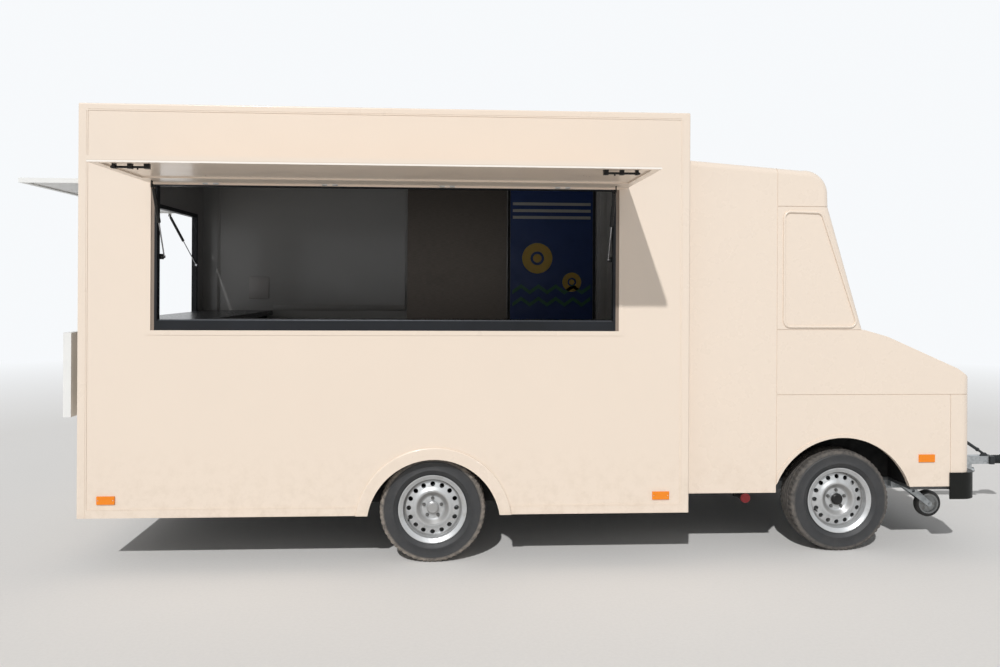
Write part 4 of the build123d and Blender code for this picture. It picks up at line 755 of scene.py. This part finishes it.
def makeMural():
    # a plain design of discs, two zigzags and three bands on the door's inner panel
    low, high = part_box("decorated_panel")
    face, front = low.y, low.y - mural["lift"]
    rear, wide = low.x + mural["margin"], mural["waveWidth"]

    def addRing(bm, centreX, centreZ, outer, inner):
        lift = mural["lift"]
        place = Matrix.Translation((centreX, face, centreZ)) @ Matrix.Rotation(math.radians(90), 4, "X")
        profile = [(outer, 0.0), (outer, lift), (inner, lift), (inner, 0.0)]
        addLathe(bm, profile, 56, place, closed=True)

    bm = bmesh.new()
    for x, z, radius in mural["discs"]:
        addRing(bm, low.x + x, z, radius, radius * mural["holeShare"])
        addRing(bm, low.x + x, z, radius * mural["eyeShare"], 0.0005)
    finishPiece("mural_discs", bm, finishes["muralYellow"], "door")
    bm = bmesh.new()
    step = (high.x - low.x - 2 * mural["margin"]) / mural["waveSteps"]
    for height in mural["waveHeights"]:
        for k in range(mural["waveSteps"]):
            x0 = rear + k * step
            z0 = height + (mural["waveRise"] if k % 2 else 0.0)
            z1 = height + (0.0 if k % 2 else mural["waveRise"])
            points = [(x0, z0), (x0 + step, z1), (x0 + step, z1 + wide), (x0, z0 + wide)]
            back = [bm.verts.new((x, face, z)) for x, z in points]
            fore = [bm.verts.new((x, front, z)) for x, z in points]
            bm.faces.new(back)
            bm.faces.new(list(reversed(fore)))
            for a in range(4):
                b = (a + 1) % 4
                bm.faces.new((back[a], fore[a], fore[b], back[b]))
    finishPiece("mural_zigzag", bm, finishes["muralGreen"], "door")
    bm = bmesh.new()
    for z in mural["bandHeights"]:
        addBlock(bm, (rear, front, z), (high.x - mural["margin"], face, z + mural["bandWidth"]))
    finishPiece("mural_bands", bm, finishes["muralPale"], "door")


makeMural()

lampRing = {
    # each point's reach past the lamp's own radius, and ahead of its face
    "profile": (
        (0.001, 0.0), (0.001, 0.007), (-0.003, 0.0115),
        (-0.0075, 0.0115), (-0.0085, 0.0085), (-0.0085, 0.0),
    ),
    "segments": 72,
}
markerScrews = {
    "stations": (0.169, 3.475), "shift": 0.043, "height": 0.411, "radius": 0.003, "rise": 0.0016,
}


def makeLampPieces():
    # chrome rings round the nose lamps, and screws on the box's side markers
    low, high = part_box("nose_lamps")
    bm = bmesh.new()
    radius = (high.z - low.z) / 2
    centreZ = (high.z + low.z) / 2
    for y in (low.y + radius, high.y - radius):
        place = facing(Vector((low.x, y, centreZ)), (1, 0, 0))
        profile = [(radius + wider, ahead) for wider, ahead in lampRing["profile"]]
        addLathe(bm, profile, lampRing["segments"], place, closed=True)
    finishPiece("lamp_rings", bm, finishes["rodChrome"], "trailer", smooth=40.0)
    markerLow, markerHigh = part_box("side_markers")
    bm = bmesh.new()
    for side, y in ((-1, markerLow.y), (1, markerHigh.y)):
        for station in markerScrews["stations"]:
            for shift in (-markerScrews["shift"], markerScrews["shift"]):
                spot = Vector((rearX + station + shift, y, markerScrews["height"]))
                addScrew(bm, spot, (0, side, 0), markerScrews["radius"], markerScrews["rise"])
    finishPiece("marker_screws", bm, finishes["pinSteel"], "trailer", smooth=50.0)


makeLampPieces()

windowBead = {
    # reach ahead of the box and height of each corner, as on the cab's sides
    "corners": ((0.631, 1.430), (0.631, 2.171), (0.883, 2.165), (1.128, 1.430)),
    "radius": 0.046, "inset": 0.007, "width": 0.0072, "proud": 0.005, "sunk": 0.0002,
    "steps": 8, "crownPoints": 7,
}


def roundedOutline(corners, radius, steps):
    # points round a closed outline whose corners are arcs
    points = []
    count = len(corners)
    for i, corner in enumerate(corners):
        toLast = (corners[i - 1] - corner).normalized()
        toNext = (corners[(i + 1) % count] - corner).normalized()
        half = toLast.angle(toNext) / 2
        centre = corner + (toLast + toNext).normalized() * (radius / math.sin(half))
        first = corner + toLast * (radius / math.tan(half)) - centre
        last = corner + toNext * (radius / math.tan(half)) - centre
        for k in range(steps + 1):
            points.append(centre + first.normalized().slerp(last.normalized(), k / steps) * radius)
    return points


def makeWindowBeads():
    # a rounded crown on the bead round each blanked cab window
    crown = windowBead["crownPoints"]
    for name, corner, out in (("near", 0, -1), ("far", 1, 1)):
        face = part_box(f"cab_side_{name}")[corner].y
        corners = [Vector((frontX + reach, 0.0, height)) for reach, height in windowBead["corners"]]
        bm = bmesh.new()
        rings = []
        path = roundedOutline(corners, windowBead["radius"], windowBead["steps"])
        count = len(path)
        for i, point in enumerate(path):
            ahead = (path[(i + 1) % count] - path[i - 1]).normalized()
            across = ahead.cross(Vector((0.0, 1.0, 0.0)))
            point = point - across * windowBead["inset"]
            ring = []
            for k in range(crown):
                angle = math.pi * k / (crown - 1)
                spot = point + across * windowBead["width"] * math.cos(angle)
                spot.y = face + out * (windowBead["proud"] * math.sin(angle) - windowBead["sunk"])
                ring.append(bm.verts.new(spot))
            rings.append(ring)
        for i in range(count):
            here, there = rings[i], rings[(i + 1) % count]
            for k in range(crown):
                after = (k + 1) % crown
                bm.faces.new((here[k], there[k], there[after], here[after]))
        finishPiece(f"window_bead_{name}", bm, finishes["creamTrim"], "trailer", smooth=50.0)


makeWindowBeads()

doorStop = {
    "leafGap": 0.007, "panelGap": 0.012, "lap": 0.0095, "land": 0.012, "thick": 0.0055, "lift": 0.0006,
}


def makeDoorStop():
    # the rubber stop on the lining round the doorway, which the leaf closes against
    panelLow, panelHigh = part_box("decorated_panel")
    lap, land = doorStop["lap"], doorStop["land"]
    left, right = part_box("entry_door")[0].x - doorStop["leafGap"], panelHigh.x + doorStop["panelGap"]
    bottom, top = panelLow.z - doorStop["panelGap"], panelHigh.z + doorStop["panelGap"]
    yLow, yHigh = farInnerY - doorStop["thick"], farInnerY - doorStop["lift"]
    bm = bmesh.new()
    addBlock(bm, (left - land, yLow, bottom), (left + lap, yHigh, top))
    addBlock(bm, (right - lap, yLow, bottom), (right + land, yHigh, top))
    addBlock(bm, (left - land, yLow, top - lap), (right + land, yHigh, top + land))
    finishPiece("door_stop", bm, finishes["sealBlack"], "trailer", bevel=0.0012)


makeDoorStop()

doorScrews = {"heights": (0.275, 1.015, 1.875), "insets": (0.028, 0.046), "proud": 0.002}
doorLock = {"proud": 0.006, "rise": 0.012}


def makeDoorPieces():
    # screws in the door's hinges and the lock under its handle
    low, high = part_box("entry_door")
    bm = bmesh.new()
    for height in doorScrews["heights"]:
        for inset in doorScrews["insets"]:
            spot = Vector((high.x - inset, farY + doorScrews["proud"], low.z + height))
            addScrew(bm, spot, (0, 1, 0))
    finishPiece("door_screws", bm, finishes["pinSteel"], "door", smooth=50.0)
    handleLow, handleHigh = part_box("door_handle")
    bm = bmesh.new()
    middleX = (handleLow.x + handleHigh.x) / 2
    place = facing(Vector((middleX, farY + doorLock["proud"], handleLow.z + doorLock["rise"])), (0, 1, 0))
    addLathe(bm, [(0.008, 0.0), (0.008, 0.003), (0.0065, 0.004), (0.002, 0.004)], 24, place)
    finishPiece("door_lock", bm, finishes["rodChrome"], "door", smooth=40.0)


makeDoorPieces()

leverButton = {"inset": 0.004, "drop": 0.006, "direction": (-140.0, 0.0, 92.0)}


def makeLeverButton():
    # the red release button on the hand brake's end
    low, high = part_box("hand_brake")
    bm = bmesh.new()
    top = Vector((low.x + leverButton["inset"], (low.y + high.y) / 2, high.z - leverButton["drop"]))
    place = facing(top, Vector(leverButton["direction"]).normalized())
    addLathe(bm, [(0.0075, -0.006), (0.0075, 0.004), (0.006, 0.007), (0.002, 0.008)], 24, place)
    finishPiece("lever_button", bm, finishes["redCap"], "trailer", smooth=40.0)


makeLeverButton()

print("stage 5: floor, lights and camera")

studio = {
    "floor": (0.78, 0.765, 0.745),
    "sky": (0.93, 0.95, 0.97),
    "worldLight": 0.38,
    "sunStrength": 2.4,
    "sunTravel": (249.0, 850.0, -721.0),
    "sunAngle": 1.2,
    "floorReach": 40.0,
    "fadeStart": 7.0,
    "fadeEnd": 16.0,
}
cameraSet = {
    "station": 2.196,
    "distance": 5.045,
    "height": 1.691,
    "yaw": 3.29,
    "roll": 0.3,
    "focalPixels": 836.0,
    "horizonPixel": 285.0,
    "picturePixels": (1000, 667),
    "sensorWidth": 36.0,
}


def makeFloor():
    bm = bmesh.new()
    reach = studio["floorReach"]
    corners = ((-reach, -reach), (reach, -reach), (reach, reach), (-reach, reach))
    bm.faces.new([bm.verts.new((x, y, 0.0)) for x, y in corners])
    mesh = bpy.data.meshes.new("studioFloor")
    bm.to_mesh(mesh)
    bm.free()
    floor = linkObject("studioFloor", mesh)
    finish = Finish("paleFloor", studio["floor"], 0.9)
    finish.tint(finish.ramp(finish.noise(0.7, 3.0), 0.3, 0.7, 0.0, 0.4), shade(studio["floor"], 0.97))
    finish.tint(finish.ramp(finish.noise(55.0, 6.0), 0.35, 0.7, 0.0, 0.5), shade(studio["floor"], 0.93))
    # far from the object the floor fades into the pale sky
    distance = finish.add("ShaderNodeVectorMath", operation="LENGTH")
    finish.join(finish.place, distance.inputs[0])
    fade = finish.ramp(distance.outputs["Value"], studio["fadeStart"], studio["fadeEnd"])
    glow = finish.add("ShaderNodeEmission")
    glow.inputs["Color"].default_value = (*studio["sky"], 1)
    blend = finish.add("ShaderNodeMixShader")
    finish.join(fade, blend.inputs["Fac"])
    finish.join(finish.shader.outputs["BSDF"], blend.inputs[1])
    finish.join(glow.outputs["Emission"], blend.inputs[2])
    finish.join(blend.outputs["Shader"], finish.tree.nodes["Material Output"].inputs["Surface"])
    mesh.materials.append(finish.material)


def makeLights():
    # the sky is shown at full strength and lights the trailer at a lower one
    world = bpy.data.worlds.new("studioSky")
    bpy.context.scene.world = world
    world.use_nodes = True
    tree = world.node_tree
    background = tree.nodes["Background"]
    background.inputs["Color"].default_value = (*studio["sky"], 1)
    path = tree.nodes.new("ShaderNodeLightPath")
    seen = tree.nodes.new("ShaderNodeMath")
    seen.operation = "MAXIMUM"
    tree.links.new(path.outputs["Is Camera Ray"], seen.inputs[0])
    tree.links.new(path.outputs["Is Transmission Ray"], seen.inputs[1])
    both = tree.nodes.new("ShaderNodeMath")
    both.operation = "MAXIMUM"
    tree.links.new(seen.outputs[0], both.inputs[0])
    tree.links.new(path.outputs["Is Glossy Ray"], both.inputs[1])
    strength = tree.nodes.new("ShaderNodeMapRange")
    strength.inputs["To Min"].default_value = studio["worldLight"]
    strength.inputs["To Max"].default_value = 1.0
    tree.links.new(both.outputs[0], strength.inputs["Value"])
    tree.links.new(strength.outputs["Result"], background.inputs["Strength"])
    lamp = bpy.data.lights.new("highSun", "SUN")
    lamp.energy = studio["sunStrength"]
    lamp.angle = math.radians(studio["sunAngle"])
    sun = bpy.data.objects.new("highSun", lamp)
    bpy.context.collection.objects.link(sun)
    sun.rotation_euler = Vector(studio["sunTravel"]).to_track_quat("-Z", "Y").to_euler()


def makeCamera():
    # the photograph's viewpoint, measured from the box's rear and near faces
    wide, high = cameraSet["picturePixels"]
    lens = bpy.data.cameras.new("photoCamera")
    lens.sensor_width = cameraSet["sensorWidth"]
    lens.lens = cameraSet["focalPixels"] / wide * cameraSet["sensorWidth"]
    lens.shift_y = (cameraSet["horizonPixel"] - high / 2) / wide
    lens.clip_end = 300.0
    camera = bpy.data.objects.new("photoCamera", lens)
    bpy.context.collection.objects.link(camera)
    turn = (
        Matrix.Rotation(math.radians(-cameraSet["yaw"]), 4, "Z")
        @ Matrix.Rotation(math.radians(90), 4, "X")
        @ Matrix.Rotation(math.radians(cameraSet["roll"]), 4, "Z")
    )
    spot = (rearX + cameraSet["station"], nearY - cameraSet["distance"], cameraSet["height"])
    camera.matrix_world = Matrix.Translation(spot) @ turn
    bpy.context.scene.camera = camera


makeFloor()
makeLights()
makeCamera()
bpy.context.scene.view_settings.view_transform = "Standard"

print("stage 6: end")
